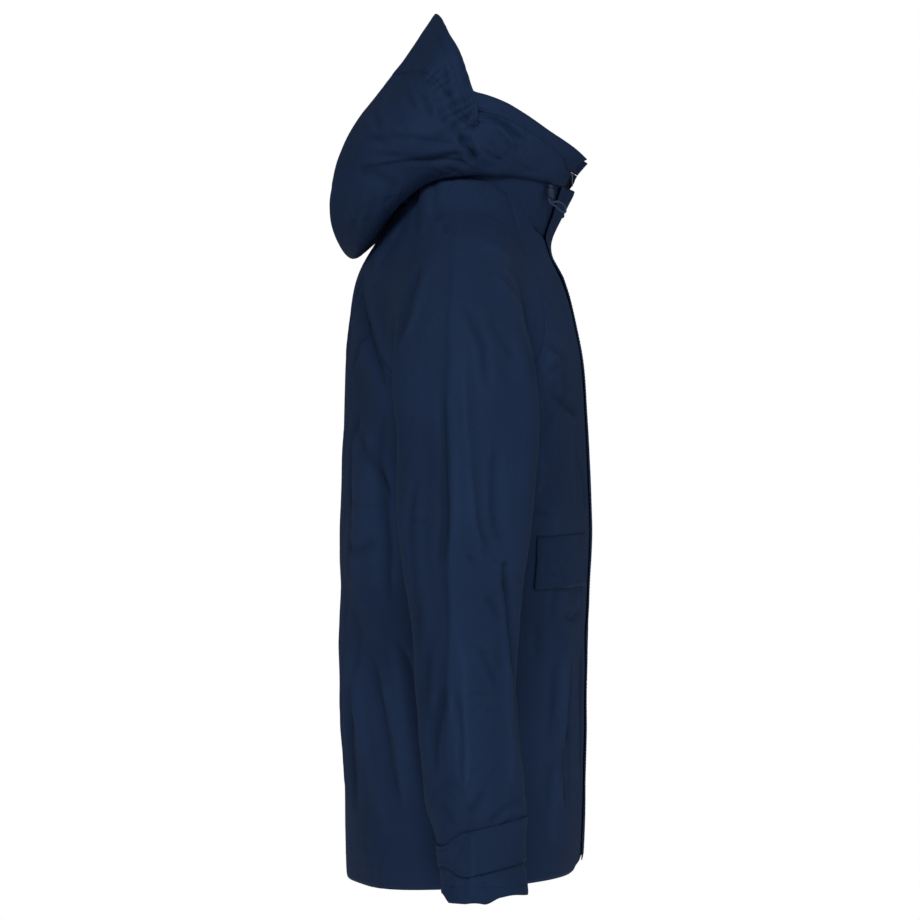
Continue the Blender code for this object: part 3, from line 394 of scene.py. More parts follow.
def edgeKinds(bm, first):    # every triangle has a row, a column and a diagonal edge, in the same turn
    start = next(iter(bm.faces))
    kinds = {loop.edge: (i + first) % 3 for i, loop in enumerate(start.loops)}
    stack, seen = [start], {start}
    while stack:
        face = stack.pop()
        for edge in face.edges:
            for other in edge.link_faces:
                if other in seen:
                    continue
                seen.add(other)
                stack.append(other)
                loops = list(other.loops)
                at = next(i for i, loop in enumerate(loops) if loop.edge == edge)
                for i, loop in enumerate(loops):
                    kinds.setdefault(loop.edge, (kinds[edge] + i - at) % 3)
    return kinds


def mapFaces(bm, cell):    # own map in metres: rows and columns of the cloth's own grid
    layer = bm.loops.layers.uv.new("clothMap")
    start = next(iter(bm.faces))
    places = {start: [np.array(p) for p in ((0, 0), (1, 0), (1, 1), (0, 1))]}
    stack = [start]
    while stack:
        face = stack.pop()
        loops, own = list(face.loops), places[face]
        for loop, uv in zip(loops, own):
            loop[layer].uv = uv * cell
        for i, loop in enumerate(loops):
            for other in loop.edge.link_loops:
                if other.face in places:
                    continue
                a, b = own[(i + 1) % 4], own[i]    # the neighbour runs the other way along this edge
                side = np.array((-(b - a)[1], (b - a)[0]))
                corners = (a, b, b + side, a + side)
                ring = list(other.face.loops)
                at = ring.index(other)
                places[other.face] = [corners[(k - at) % 4] for k in range(4)]
                stack.append(other.face)


def clothFrom(node, smoothing, rim=clothLook["rim"], turn=-1.0):
    name = node + "_cloth"    # the solid's rim is left out by its short edges or by its turn
    mesh = nodes[node].data.copy()
    mesh.name = name
    bm = bmesh.new()
    bm.from_mesh(mesh)
    bmesh.ops.remove_doubles(bm, verts=bm.verts, dist=clothLook["merge"])
    rims = [face for face in bm.faces if min(edge.calc_length() for edge in face.edges) < rim]
    bmesh.ops.delete(bm, geom=rims, context="FACES")
    outer = largestIsland(bm, turn)
    bmesh.ops.delete(bm, geom=[face for face in bm.faces if face not in outer], context="FACES")
    for first in range(3):
        kinds = edgeKinds(bm, first)
        if not any(kinds[edge] == 0 for edge in bm.edges if edge.is_boundary):
            break
    bmesh.ops.dissolve_edges(bm, edges=[edge for edge in bm.edges if kinds[edge] == 0], use_verts=False)
    mapFaces(bm, clothLook["mapCell"])
    bm.to_mesh(mesh)
    bm.free()
    mesh.materials.clear()
    piece = bpy.data.objects.new(name, mesh)
    scene.collection.objects.link(piece)
    applyModifier(piece, "SUBSURF", levels=smoothing, render_levels=smoothing,
                  boundary_smooth="PRESERVE_CORNERS")
    return piece


def finishCloth(piece, node, thickness=clothLook["thickness"],
                material="shellCloth"):
    applyModifier(piece, "SOLIDIFY", thickness=thickness, offset=-1.0, use_even_offset=False, use_rim=True)
    piece.data.materials.clear()
    piece.data.materials.append(finishes[material])
    piece.data.shade_smooth()
    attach(piece, "jacket")
    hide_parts(node)
    print(piece.name, "made:", len(piece.data.polygons), "faces")


# folds: troughs and ridges fade to both sides, a tuck is a step
foldLook = {"wander": 2.4, "wanderSize": 42, "fullRun": 90, "fadeEnds": 0.22, "side": 1.8, "hidden": 1.5}


def seenFromSide(points):    # millimetres forward and up, as the camera sees the near side
    away, middle, level = -cameraView["place"][0], cameraView["place"][1], cameraView["place"][2]
    grow = away / (away - np.abs(points[:, 0]))
    forward = -1000 * ((points[:, 1] - middle) * grow + middle)
    up = 1000 * ((points[:, 2] - level) * grow + level)
    return np.stack((forward, up), axis=1)


def wander(chart):    # no fold runs quite evenly
    spots = chart / foldLook["wanderSize"]
    return foldLook["wander"] * np.array([[noise.noise(Vector((x, y, layer))) for layer in (4.0, 8.0)]
                                          for x, y in spots])


def foldHeight(chart, folds, moved=(0.0, 0.0), size=1.0):
    height = np.zeros(len(chart))
    chart = chart + wander(chart)
    for kind, width, depth, *places in folds:
        corners = np.array(places, dtype=float) + moved
        line = smoothRun(corners, 4 * len(corners))
        depth = depth * min(1.0, math.sqrt(np.linalg.norm(corners[-1] - corners[0]) / foldLook["fullRun"]))
        reach = 4 * width
        low, high = line.min(axis=0) - reach, line.max(axis=0) + reach
        picked = np.nonzero(((chart > low) & (chart < high)).all(axis=1))[0]
        if len(picked) == 0:
            continue
        spots = chart[picked]
        nearest, share, side = np.full(len(spots), 1e9), np.zeros(len(spots)), np.ones(len(spots))
        for i in range(len(line) - 1):
            run = line[i + 1] - line[i]
            t = np.clip((spots - line[i]) @ run / (run @ run), 0.0, 1.0)
            off = spots - line[i] - t[:, None] * run
            distance = np.linalg.norm(off, axis=1)
            closer = distance < nearest
            nearest = np.where(closer, distance, nearest)
            share = np.where(closer, (i + t) / (len(line) - 1), share)
            side = np.where(closer, np.sign(run[0] * off[:, 1] - run[1] * off[:, 0]), side)
        taper = smoothStep(np.minimum(share, 1 - share), 0.0, foldLook["fadeEnds"])
        spread = nearest / (width * (0.55 + 0.45 * taper))
        crest = 0.45 * np.exp(-spread * spread) + 0.55 * np.exp(-2.2 * spread)
        if kind == "tuck":    # high on the left of its run and low on the right
            shape = 1.1 * side * (1 - np.exp(-5 * spread)) * np.exp(-1.1 * spread)
        elif kind == "ridge":
            shape = crest
        else:
            shape = 0.35 * np.exp(-((spread - 1.9) ** 2)) - crest
        uneven = 0.82 + 0.18 * np.sin(6 * share + 0.3 * line[0][0])
        height[picked] += size * depth * taper * uneven * shape
    return height / 1000


def ripples(points, size, height, stretch=(1.0, 1.0, 0.45), seed=0.0):    # slow unevenness of hanging cloth
    scaled = points * np.array(stretch) / size + seed
    return height * np.array([noise.noise(Vector(p)) for p in scaled])


def creases(points, size, width, height, stretch, seed):    # fine sharp creases, here and there
    scaled = points * np.array(stretch) / size + seed
    lines = np.abs(np.array([noise.noise(Vector(p)) for p in scaled])) * size / width
    places = np.array([noise.noise(Vector(p)) for p in 0.55 * scaled + 31.7])
    return -height * np.exp(-1.6 * lines) * smoothStep(places, -0.05, 0.35)


# edges: distance from each vertex to some edges of a piece, and length along them
sewReach = 0.0030    # a cloth's edge this near another solid is sewn to it


def chained(pairs):    # linked pairs in rows, open rows first
    links = {}
    for a, b in pairs:
        links.setdefault(a, []).append(b)
        links.setdefault(b, []).append(a)
    rows, used = [], set()
    for start in sorted(links, key=lambda key: (len(links[key]), key)):
        if start in used:
            continue
        row, here = [start], start
        while here is not None:
            used.add(here)
            here = next((key for key in links[here] if key not in used), None)
            if here is not None:
                row.append(here)
        rows.append(row)
    return rows


def edgeLines(piece, belongs):
    bm = bmesh.new()
    bm.from_mesh(piece.data)
    pairs = [tuple(v.index for v in edge.verts) for edge in bm.edges
             if edge.is_boundary and belongs(sum((v.co for v in edge.verts), Vector()) / 2)]
    bm.verts.ensure_lookup_table()
    lines = [np.array([bm.verts[i].co for i in row]) for row in chained(pairs) if len(row) > 2]
    bm.free()
    return lines


def nearSolids(names, wanted):    # says of a place if it is sewn to these solids, or free of them
    tree = solidTree(names)
    return lambda place: (tree.find_nearest(place, sewReach)[0] is not None) == wanted


def edgeDistance(points, lines):
    near, along = np.full(len(points), 1.0), np.zeros(len(points))
    start, reach, gap = 0.0, 0.06, 0.05
    for line in lines:
        lengths = lengthsAlong(line)
        for i in range(len(line) - 1):
            run = line[i + 1] - line[i]
            picked = np.nonzero((np.abs(points - line[i]) < reach).all(axis=1))[0]
            if len(picked) == 0 or run @ run < 1e-14:
                continue
            off = points[picked] - line[i]
            t = np.clip(off @ run / (run @ run), 0.0, 1.0)
            distance = np.linalg.norm(off - t[:, None] * run, axis=1)
            closer = distance < near[picked]
            chosen = picked[closer]
            near[chosen] = distance[closer]
            along[chosen] = start + lengths[i] + t[closer] * (lengths[i + 1] - lengths[i])
        start += lengths[-1] + gap
    return near, along


def pucker(near, along, waves, height, reach):    # short gathers that run in from a sewn edge
    phase = along / waves + 0.35 * np.sin(along / waves * 0.61) + 0.2 * np.sin(along / waves * 1.7)
    uneven = 0.65 + 0.35 * np.sin(along / waves * 0.37)
    return height * uneven * np.sin(2 * math.pi * phase) * np.exp(-near / reach)


def rolled(near, height, reach):    # the edge is turned under, so it falls away
    return -height * np.exp(-(near / reach) ** 2)


# small shapes that repeat are modelled once, lying along +Y with their face to +Z, and copied in rows
def pick(piece, mode, wanted):    # in edit mode, only the corners, edges or faces that are wanted
    bpy.ops.mesh.select_mode(type=mode)
    bpy.ops.mesh.select_all(action="DESELECT")
    bm = bmesh.from_edit_mesh(piece.data)
    for part in {"VERT": bm.verts, "EDGE": bm.edges, "FACE": bm.faces}[mode]:
        if wanted(part):
            part.select_set(True)
    bm.select_flush_mode()
    bmesh.update_edit_mesh(piece.data)


def takeShape(piece):    # its corners and faces; the model itself doesn't stay in the scene
    bpy.ops.object.mode_set(mode="OBJECT")
    shape = pointsOf(piece), [tuple(face.vertices) for face in piece.data.polygons]
    bpy.data.objects.remove(piece)
    return shape


def copyTo(shape, place, ahead, out, corners, faces):
    across = np.cross(ahead, out)
    first = len(corners)
    corners += [tuple(place + across * x + ahead * y + out * z) for x, y, z in shape[0]]
    faces += [tuple(first + i for i in face) for face in shape[1]]


def rowPiece(name, corners, faces, material):
    mesh = bpy.data.meshes.new(name)
    mesh.from_pydata(corners, [], faces)
    mesh.materials.append(finishes[material])
    piece = bpy.data.objects.new(name, mesh)
    scene.collection.objects.link(piece)
    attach(piece, "jacket")
    return piece


# sewing thread: small stitches along a line on the cloth at a distance from an edge
stitchLook = {
    "length": 0.0026, "pitch": 0.0036, "width": 0.00040, "height": 0.00030,
    "sunk": 0.00020, "endSunk": 0.00010,
}


def modelStitch():    # a spindle that is higher than it is deep, with its ends in the cloth
    deselectAll()
    bpy.ops.mesh.primitive_cone_add(vertices=4, radius1=1.0, radius2=0.0, depth=1.0, end_fill_type="TRIFAN",
                                    location=(0, 0.5, 0), rotation=(-math.pi / 2, 0, 0))
    bpy.ops.object.transform_apply(location=True, rotation=True, scale=False)
    stitch = bpy.context.active_object
    bpy.ops.object.mode_set(mode="EDIT")
    pick(stitch, "VERT", lambda v: v.co.length < 0.1)    # the middle of its base becomes the other end
    bpy.ops.transform.translate(value=(0, -1, 0))
    bpy.ops.mesh.select_all(action="SELECT")
    bpy.ops.transform.resize(value=(stitchLook["width"] / 2, stitchLook["length"] / 2, stitchLook["height"]),
                             center_override=(0, 0, 0))
    pick(stitch, "VERT", lambda v: v.co.z < -stitchLook["height"] / 2)
    bpy.ops.transform.translate(value=(0, 0, stitchLook["height"] - stitchLook["sunk"]))
    pick(stitch, "VERT", lambda v: abs(v.co.y) > stitchLook["length"] / 4)
    bpy.ops.transform.translate(value=(0, 0, -stitchLook["endSunk"]))
    return takeShape(stitch)


def levelLines(piece, values, level):    # where the values cross the level, with the cloth's facing there
    mesh = piece.data
    mesh.calc_loop_triangles()
    triangles = np.empty(len(mesh.loop_triangles) * 3, dtype=np.int32)
    mesh.loop_triangles.foreach_get("vertices", triangles)
    triangles = triangles.reshape(-1, 3)
    above = values[triangles] > level
    crossing = triangles[(above.sum(axis=1) % 3) > 0]
    points, normals = pointsOf(piece), normalsOf(piece)
    spots, pairs = {}, []
    for triangle in crossing:
        ends = []
        for a, b in ((0, 1), (1, 2), (2, 0)):
            i, j = sorted((int(triangle[a]), int(triangle[b])))
            if (values[i] > level) != (values[j] > level):
                t = (level - values[i]) / (values[j] - values[i])
                spots[(i, j)] = (points[i] * (1 - t) + points[j] * t, normals[i] * (1 - t) + normals[j] * t)
                ends.append((i, j))
        if len(ends) == 2:
            pairs.append(ends)
    return [(np.array([spots[k][0] for k in row]), unitRows(np.array([spots[k][1] for k in row])))
            for row in chained(pairs) if len(row) > 3]


stitch = modelStitch()


def sewRow(piece, values, level, corners, faces):
    half = stitchLook["length"] / 2
    for line, skins in levelLines(piece, values, level):
        lengths = lengthsAlong(line)
        for middle in np.arange(stitchLook["pitch"] / 2, lengths[-1], stitchLook["pitch"]):
            tail, head = (spotOn(line, lengths, middle + way) for way in (-half, half))
            skin = unitRows(spotOn(skins, lengths, middle))
            copyTo(stitch, (tail + head) / 2, unitRows(head - tail), skin, corners, faces)


# fold tables: kind, half width, depth, and the run's corners, all in millimetres
shoulderFolds = (
    ("tuck", 13, 1.2, (-11, -11), (-16, -82), (-19, -160), (-20, -237)),
    ("trough", 9, 2.6, (51, -34), (59, -76), (70, -116), (77, -162), (81, -208)),
    ("ridge", 5, 1.6, (41, -52), (51, -72), (59, -87), (68, -109)),
    ("trough", 4, 3.6, (-54, 19), (-53, -1), (-53, -24)),
    ("trough", 4, 2.8, (-34, 23), (-33, 8), (-31, -11)),
    ("trough", 4, 3.0, (-28, 10), (-24, -4), (-21, -22)),
    ("trough", 4, 2.6, (-18, 4), (-15, -8), (-13, -22)),
    ("ridge", 6, 2.4, (11, -45), (26, -38), (40, -44), (52, -61)),
    ("trough", 3.5, 3, (44, -55), (53, -68), (61, -84), (68, -99)),
    ("trough", 3.5, 2.8, (37, -58), (53, -84), (65, -102), (74, -128)),
    ("trough", 6, 3.5, (-109, -53), (-117, -84), (-113, -114), (-103, -144), (-91, -180), (-86, -201)),
    ("ridge", 8, 2.2, (-94, -34), (-96, -56), (-98, -82)),
    ("trough", 5, 3, (-48, -47), (-62, -95), (-73, -123), (-77, -143)),
    ("trough", 4, 2.2, (-56, -99), (-65, -114), (-73, -128), (-80, -152)),
    ("trough", 5, 2.2, (-4, -91), (8, -118), (19, -144), (24, -180), (29, -201)),
    ("trough", 3.5, 1.6, (9, -102), (14, -111), (21, -120)),
    ("trough", 4, 1.8, (30, -118), (37, -131), (45, -144), (55, -160)),
    ("trough", 4, 1.6, (87, -183), (95, -172), (105, -164), (108, -180), (110, -196), (97, -219)),
    ("trough", 4, 1.6, (86, -242), (92, -229), (100, -216)),
)
sleeveFolds = (
    ("tuck", 13, 2.2, (-20, -182), (-20, -280), (-19, -380), (-19, -490), (-20, -578), (-21, -650)),
    ("trough", 5, 2, (35, -237), (32, -292), (35, -346), (46, -375)),
    ("ridge", 6, 1.8, (46, -468), (47, -534), (51, -600), (47, -650)),
    ("trough", 5, 2, (-55, -280), (-61, -358), (-54, -424), (-50, -490)),
    ("trough", 5, 1.6, (-41, -468), (-43, -522), (-38, -578)),
    ("trough", 3, 1.4, (6, -468), (16, -481), (32, -484)),
    ("trough", 3, 1.3, (-8, -600), (6, -610), (25, -608)),
    ("tuck", 8, 2.6, (44, -391), (28, -378), (19, -359), (11, -312), (7, -262), (3, -204), (1, -138)),
    ("trough", 5, 2.2, (-28, -182), (-21, -258), (-23, -336), (-30, -402)),
    ("trough", 4, 2.6, (44, -366), (48, -424), (56, -512), (58, -540), (62, -586), (68, -632)),
    ("trough", 4, 2.6, (1, -373), (9, -381), (16, -391)),
    ("trough", 3.5, 2.2, (16, -363), (21, -372), (26, -382)),
    ("tuck", 4, 2, (30, -378), (41, -380), (52, -382)),
    ("trough", 5, 2.6, (44, -378), (45, -398), (44, -417)),
    ("trough", 4, 2, (22, -417), (32, -433), (42, -452)),
    ("trough", 4, 1.6, (-72, -327), (-58, -336), (-38, -336)),
    ("ridge", 8, 3, (-12, -459), (-4, -484), (0, -509), (0, -556), (0, -594), (0, -648)),
    ("trough", 3.5, 2.2, (-12, -509), (-8, -540), (-4, -573), (-2, -637)),
    ("trough", 5, 2.6, (-23, -509), (-30, -548), (-34, -582), (-33, -619)),
    ("trough", 3.5, 1.5, (-10, -535), (3, -530), (14, -527), (30, -530)),
    ("trough", 3.5, 1.4, (6, -550), (19, -543), (38, -547)),
    ("trough", 4, 1.6, (14, -468), (25, -498), (38, -522)),
    ("trough", 5, 3, (0, -660), (13, -647), (22, -628)),
    ("trough", 4, 2.2, (25, -670), (44, -653), (65, -641)),
    ("trough", 4, 1.8, (-30, -644), (-21, -657), (-14, -672)),
    ("trough", 3.5, 1.5, (38, -674), (50, -666), (58, -657)),
    ("ridge", 5, 2, (8, -679), (9, -704), (8, -732), (6, -756)),
    ("trough", 4, 1.6, (-19, -732), (-14, -745), (-14, -757)),
)
bodyFolds = (
    ("trough", 6, 3, (-89, -199), (-94, -248), (-90, -314), (-85, -380), (-84, -443)),
    ("ridge", 8, 2.4, (-77, -314), (-74, -358), (-76, -413)),
    ("trough", 6, 2.4, (-133, -314), (-131, -380), (-132, -468)),
    ("ridge", 8, 2.6, (-90, -490), (-80, -534), (-69, -600), (-63, -666)),
    ("trough", 5, 2.2, (-124, -534), (-122, -600), (-121, -666)),
    ("ridge", 6, 2.2, (78, -248), (82, -280), (80, -314)),
    ("trough", 3, 1.6, (90, -364), (92, -375), (90, -393)),
    ("trough", 3, 1.4, (106, -382), (109, -396), (107, -408)),
    ("ridge", 7, 2.4, (111, -468), (107, -522), (96, -578), (91, -622)),
    ("trough", 4, 1.8, (127, -468), (123, -534), (121, -600)),
    ("trough", 5, 2.6, (-120, -226), (-109, -257), (-96, -282), (-78, -318)),
    ("ridge", 6, 1.8, (-102, -239), (-96, -256), (-89, -273)),
    ("ridge", 9, 3.4, (-118, -223), (-118, -282), (-110, -340), (-110, -371)),
    ("trough", 5, 2.4, (-129, -280), (-127, -324), (-127, -380)),
    ("trough", 4, 2.2, (-124, -314), (-109, -322), (-89, -320)),
    ("ridge", 7, 2.6, (-99, -371), (-98, -391), (-99, -410)),
    ("trough", 6, 2.4, (-124, -424), (-118, -448), (-113, -479)),
    ("ridge", 10, 4, (-126, -460), (-120, -520), (-110, -580), (-96, -635), (-80, -690)),
    ("trough", 5, 2.4, (-106, -470), (-94, -535), (-82, -600), (-68, -664)),
    ("trough", 6, 4, (-85, -457), (-72, -479), (-64, -498), (-57, -541), (-51, -584), (-44, -626),
     (-40, -669)),
    ("trough", 5, 1.8, (-136, -520), (-131, -590), (-120, -660)),
    ("trough", 3.5, 1.6, (84, -300), (89, -299), (97, -300)),
    ("trough", 4, 2.2, (73, -317), (82, -323), (95, -331)),
    ("ridge", 5, 2.2, (98, -318), (99, -336), (100, -353)),
    ("trough", 3.5, 1.6, (102, -358), (111, -358), (120, -355)),
    ("trough", 3.5, 1.6, (77, -371), (86, -373), (96, -374)),
    ("trough", 3.5, 1.6, (87, -391), (96, -392), (105, -392)),
    ("trough", 4, 2, (100, -407), (99, -426), (98, -447)),
    ("trough", 5, 2.4, (81, -443), (82, -468), (82, -491)),
    ("trough", 6, 2.2, (104, -474), (99, -540), (95, -600), (92, -664)),
    ("trough", 5, 2.6, (118, -548), (109, -594), (113, -661)),
    ("ridge", 7, 2, (96, -600), (97, -644), (95, -698)),
)
hoodFolds = (
    ("trough", 3, 2, (-62, 156), (-55, 153), (-48, 150)),
    ("trough", 3, 2, (-50, 148), (-42, 146), (-32, 145)),
    ("trough", 3.5, 2.4, (-66, 134), (-61, 128), (-55, 117)),
    ("trough", 3.5, 2.8, (-52, 134), (-44, 125), (-41, 118), (-38, 105)),
    ("trough", 3.5, 2.6, (-34, 121), (-28, 116), (-24, 108), (-16, 98)),
    ("trough", 3, 2, (-18, 122), (-10, 113), (0, 105)),
    ("trough", 3.5, 2.2, (-14, 103), (-8, 92), (0, 79)),
    ("trough", 3, 2, (-2, 94), (7, 95), (16, 92)),
    ("trough", 4.5, 4, (-6, 90), (0, 77), (6, 68), (10, 56)),
    ("ridge", 4, 2, (4, 98), (9, 82), (14, 65)),
    ("trough", 3, 1.4, (-35, 87), (-28, 88), (-19, 86)),
    ("trough", 3, 1.4, (-77, 105), (-69, 96), (-61, 91)),
    ("trough", 3, 1.6, (21, 72), (30, 63), (43, 61)),
    ("ridge", 3, 1.2, (23, 96), (32, 89), (41, 76)),
    ("trough", 4, 2, (-25, 165), (-21, 151), (-16, 130), (-7, 118)),
    ("trough", 5, 2, (-1, 215), (10, 193), (21, 168)),
    ("tuck", 6, 1.5, (-128, 55), (-94, 57), (-65, 61), (-25, 64), (15, 57)),
    ("trough", 6, 1.6, (-124, 50), (-101, 46), (-86, 37), (-69, 25)),
    ("trough", 5, 1.5, (-121, 79), (-98, 85), (-75, 86), (-40, 82), (-3, 79)),
    ("trough", 4, 1.5, (-96, 67), (-60, 63), (-22, 65), (-5, 70)),
    ("trough", 4, 1.6, (-25, 52), (-13, 48), (-1, 43)),
    ("trough", 5, 2.0, (8, 84), (9, 70), (11, 54)),
    ("trough", 5, 1.6, (-114, 11), (-121, -6), (-128, -25)),
    ("trough", 5, 1.6, (-97, 21), (-103, 4), (-109, -14)),
    ("trough", 4, 1.4, (-78, 36), (-82, 23), (-89, 10)),
    ("trough", 4, 2.6, (13, 120), (26, 110), (40, 102), (59, 86), (69, 78)),
    ("trough", 3, 1.3, (35, 92), (46, 82), (52, 66)),
    ("trough", 3, 1.2, (47, 94), (56, 80), (59, 64)),
    ("trough", 3, 1.3, (25, 82), (34, 69), (38, 54)),
    ("trough", 4, 1.6, (-94, 138), (-98, 113), (-91, 85)),
    ("trough", 4, 1.4, (-116, 105), (-102, 87), (-80, 76)),
    ("ridge", 6, 1.4, (-43, 96), (-36, 80), (-38, 69)),
)
# hidden sides: millimetres across and up, on the wearer's right; the left ones are moved a little
chestFolds = (
    ("trough", 6, 2.2, (-168, -118), (-140, -150), (-104, -172)),
    ("trough", 6, 2.6, (-158, -196), (-122, -214), (-84, -221)),
    ("trough", 5, 1.8, (-92, -262), (-70, -290), (-62, -330)),
    ("ridge", 8, 1.8, (-118, -240), (-112, -282), (-116, -330)),
    ("trough", 6, 2.4, (-150, -432), (-118, -440), (-82, -433)),
    ("trough", 7, 3.0, (-74, -470), (-80, -530), (-70, -610)),
    ("trough", 7, 2.6, (-128, -470), (-138, -540), (-132, -640)),
    ("ridge", 9, 2.4, (-102, -500), (-108, -560), (-100, -640)),
    ("trough", 4, 1.4, (-60, -96), (-78, -128), (-82, -156)),
)
backFolds = (
    ("trough", 7, 2.6, (-150, -92), (-112, -128), (-84, -176)),
    ("trough", 6, 2.2, (-52, -60), (-40, -118), (-46, -170)),
    ("trough", 8, 3.0, (-120, -210), (-92, -262), (-98, -330)),
    ("ridge", 9, 2.2, (-62, -210), (-58, -280), (-66, -350)),
    ("trough", 7, 2.4, (-20, -230), (-26, -300), (-14, -372)),
    ("trough", 6, 2.2, (-168, -352), (-132, -366), (-92, -360)),
    ("trough", 8, 3.2, (-58, -440), (-64, -520), (-50, -620)),
    ("trough", 7, 2.8, (-132, -450), (-124, -530), (-136, -640)),
    ("ridge", 10, 2.6, (-94, -440), (-92, -540), (-100, -660)),
    ("ridge", 10, 2.0, (-18, -450), (-14, -540), (-20, -640)),
)


def foldedBy(points, normals, side, table, inside=0.0):
    across = -side * normals[:, 0]    # 1 where the cloth faces its own side
    moved, size = ((0.0, 0.0), 1.0) if side > 0 else ((5.0, -7.0), 0.9)
    height = foldLook["side"] * foldHeight(seenFromSide(points), table, moved, size)
    facing = smoothStep(across, 0.02, 0.42)
    return height * facing + np.minimum(height, 0.0) * inside * smoothStep(-across, 0.05, 0.5)


def foldedAcross(points, normals, table, way):    # way -1 for the front, 1 for the back
    flat = 1000 * np.stack((-np.abs(points[:, 0]), points[:, 2]), axis=1)
    left = points[:, 0] > 0
    height = np.where(left, foldHeight(flat, table, (-7.0, 11.0), 0.85), foldHeight(flat, table))
    return foldLook["hidden"] * height * smoothStep(way * normals[:, 1], 0.35, 0.8)


# what each cloth piece does: shared folds run over the seams, own folds end before them
def sharedHeight(points, normals, side):
    return (foldedBy(points, normals, side, shoulderFolds)
            + ripples(points, 0.034, 0.0007, (1, 1, 0.7), seed=7.7)
            + creases(points, 0.045, 0.0030, 0.0011, (1, 1, 0.45), seed=2.2))


def bodyHeight(points, normals, side):
    height = foldedBy(points, normals, side, bodyFolds)
    height += foldedAcross(points, normals, chestFolds, -1) + foldedAcross(points, normals, backFolds, 1)
    return height + ripples(points, 0.085, 0.0024, seed=3.1)


def sleeveHeight(points, normals, side):
    height = foldedBy(points, normals, side, sleeveFolds, inside=0.6)
    return height + smoothStep(-side * normals[:, 0], -0.5, 0.3) * ripples(points, 0.07, 0.0018, seed=11.3)


def hoodHeight(points, normals, side):
    return (foldedBy(points, normals, side, hoodFolds) + ripples(points, 0.05, 0.0013, (1, 1, 0.8), seed=2.6)
            + ripples(points, 0.018, 0.0004, (1, 1, 1), seed=9.4)
            + creases(points, 0.030, 0.0026, 0.0011, (1, 1, 1), seed=6.1))


def quietHeight(points, normals, side):
    return ripples(points, 0.04, 0.0002, seed=1.9)


def foldsOf(node, heightOf, points, normals):    # a piece over the middle has each side's folds
    if node.endswith(("_right", "_left")):
        return heightOf(points, normals, -1 if node.endswith("_left") else 1)
    return np.where(points[:, 0] < 0, heightOf(points, normals, 1), heightOf(points, normals, -1))


# own folds, flat width and length, area, stitched rows from seams and from free edges, what it hangs from
clothCuts = {
    "front": (bodyHeight, (0.34, 0.735), 0.1675, (6,), (22,), None),
    "back": (bodyHeight, (0.62, 0.75), 0.3522, (6,), (22,), None),
    "collar": (quietHeight, (0.44, 0.11), 0.0373, (), (5,), "back"),
    "sleeve": (sleeveHeight, (0.50, 0.80), 0.2738, (), (17,), None),
    "cuff_strap": (sleeveHeight, (0.18, 0.045), 0.0068, (), (4,), "sleeve"),
    "pocket_flap": (bodyHeight, (0.125, 0.062), 0.0072, (), (5,), "front"),
    "hood_side": (hoodHeight, (0.30, 0.22), 0.0348, (4,), (), None),
    "hood_centre": (hoodHeight, (0.19, 0.29), 0.0430, (), (), None),
    "hood_peak": (hoodHeight, (0.34, 0.12), 0.0199, (), (4, 14), None),
    "hood_casing": (hoodHeight, (0.17, 0.025), 0.0035, (), (3,), None),
    "storm_flap": (bodyHeight, (0.095, 0.76), 0.0559, (), (5, 10), "front_right"),
}
overlays = ("cuff_strap", "pocket_flap", "storm_flap")
laidPieces = overlays + ("hood_casing", "collar")    # not sewn edge to edge
bodyPanels = ["front_right", "front_left", "back", "sleeve_right", "sleeve_left"]
hoodPanels = ["hood_side_right", "hood_side_left", "hood_centre", "hood_peak"]
hoodShape = {
    "gather": 0.0100, "gatherHeight": 0.0024, "gatherReach": 0.017, "rimRoll": 0.0004, "rimReach": 0.0030,
    "closeBy": 0.0095, "turnBy": (-0.024, 0.013, 0.001), "turnFrom": 0.010, "turnReach": 0.055,
}
neckShape = {"rise": 0.023, "reach": 0.040, "standOff": 0.0020, "flapStandOff": 0.0034}
cuffShape = {"rise": 0.0075, "wave": 0.0012, "reach": 0.030, "strapSlope": 0.00021, "strapStandOff": 0.0019}
pocketSunk = 0.0013
seamShape = {
    "sewn": 0.00002, "fade": 0.012, "pucker": 0.019, "puckerHeight": 0.0005, "reach": 0.009,
    "roll": 0.0007, "rollReach": 0.0022, "joinReach": 0.010, "joinGap": 0.012, "cornerGap": 0.0024,
    "allowance": 0.0030, "allowanceUnder": 0.0013,
}


def kindOf(node):
    return node.removesuffix("_right").removesuffix("_left")


def layOn(points, tree, standOff, share=None):    # lays the cloth on what is under it
    share = np.ones(len(points)) if share is None else share
    for i in np.nonzero(share > 0.001)[0]:
        place, skin, index, distance = tree.find_nearest(Vector(points[i]), 0.05)
        if place is not None:
            points[i] += (np.array(place + skin * standOff) - points[i]) * share[i]


def closeHood(kind, points):    # the casing's rear end goes on behind the peak's rim
    chart = seenFromSide(points)
    share = 1 - smoothStep(chart[:, 0], 18.0, 52.0)
    if kind == "hood_side":
        share = share * smoothStep(chart[:, 1], 97.0, 116.0) * smoothStep(chart[:, 0], 14.2, 17.6)
    points[:, 1] += hoodShape["closeBy"] * share


def turnBack(points):    # the near front corner is turned back a little and shows the zip pull
    chart = seenFromSide(points)
    gap = np.linalg.norm(points - hoodCorner, axis=1)
    share = np.clip(1 - (gap - hoodShape["turnFrom"]) / hoodShape["turnReach"], 0.0, 1.0)
    share = share * (1 - smoothStep(chart[:, 1], 48.0, 72.0))
    for i in np.nonzero(share > 0.001)[0]:
        moved = Vector(points[i]) + Vector(hoodShape["turnBy"]) * share[i]
        before, skin, index, distance = hoodTree.find_nearest(Vector(points[i]), 0.05)
        place, skin, index, distance = hoodTree.find_nearest(moved, 0.05)
        points[i] += np.array(place - before)


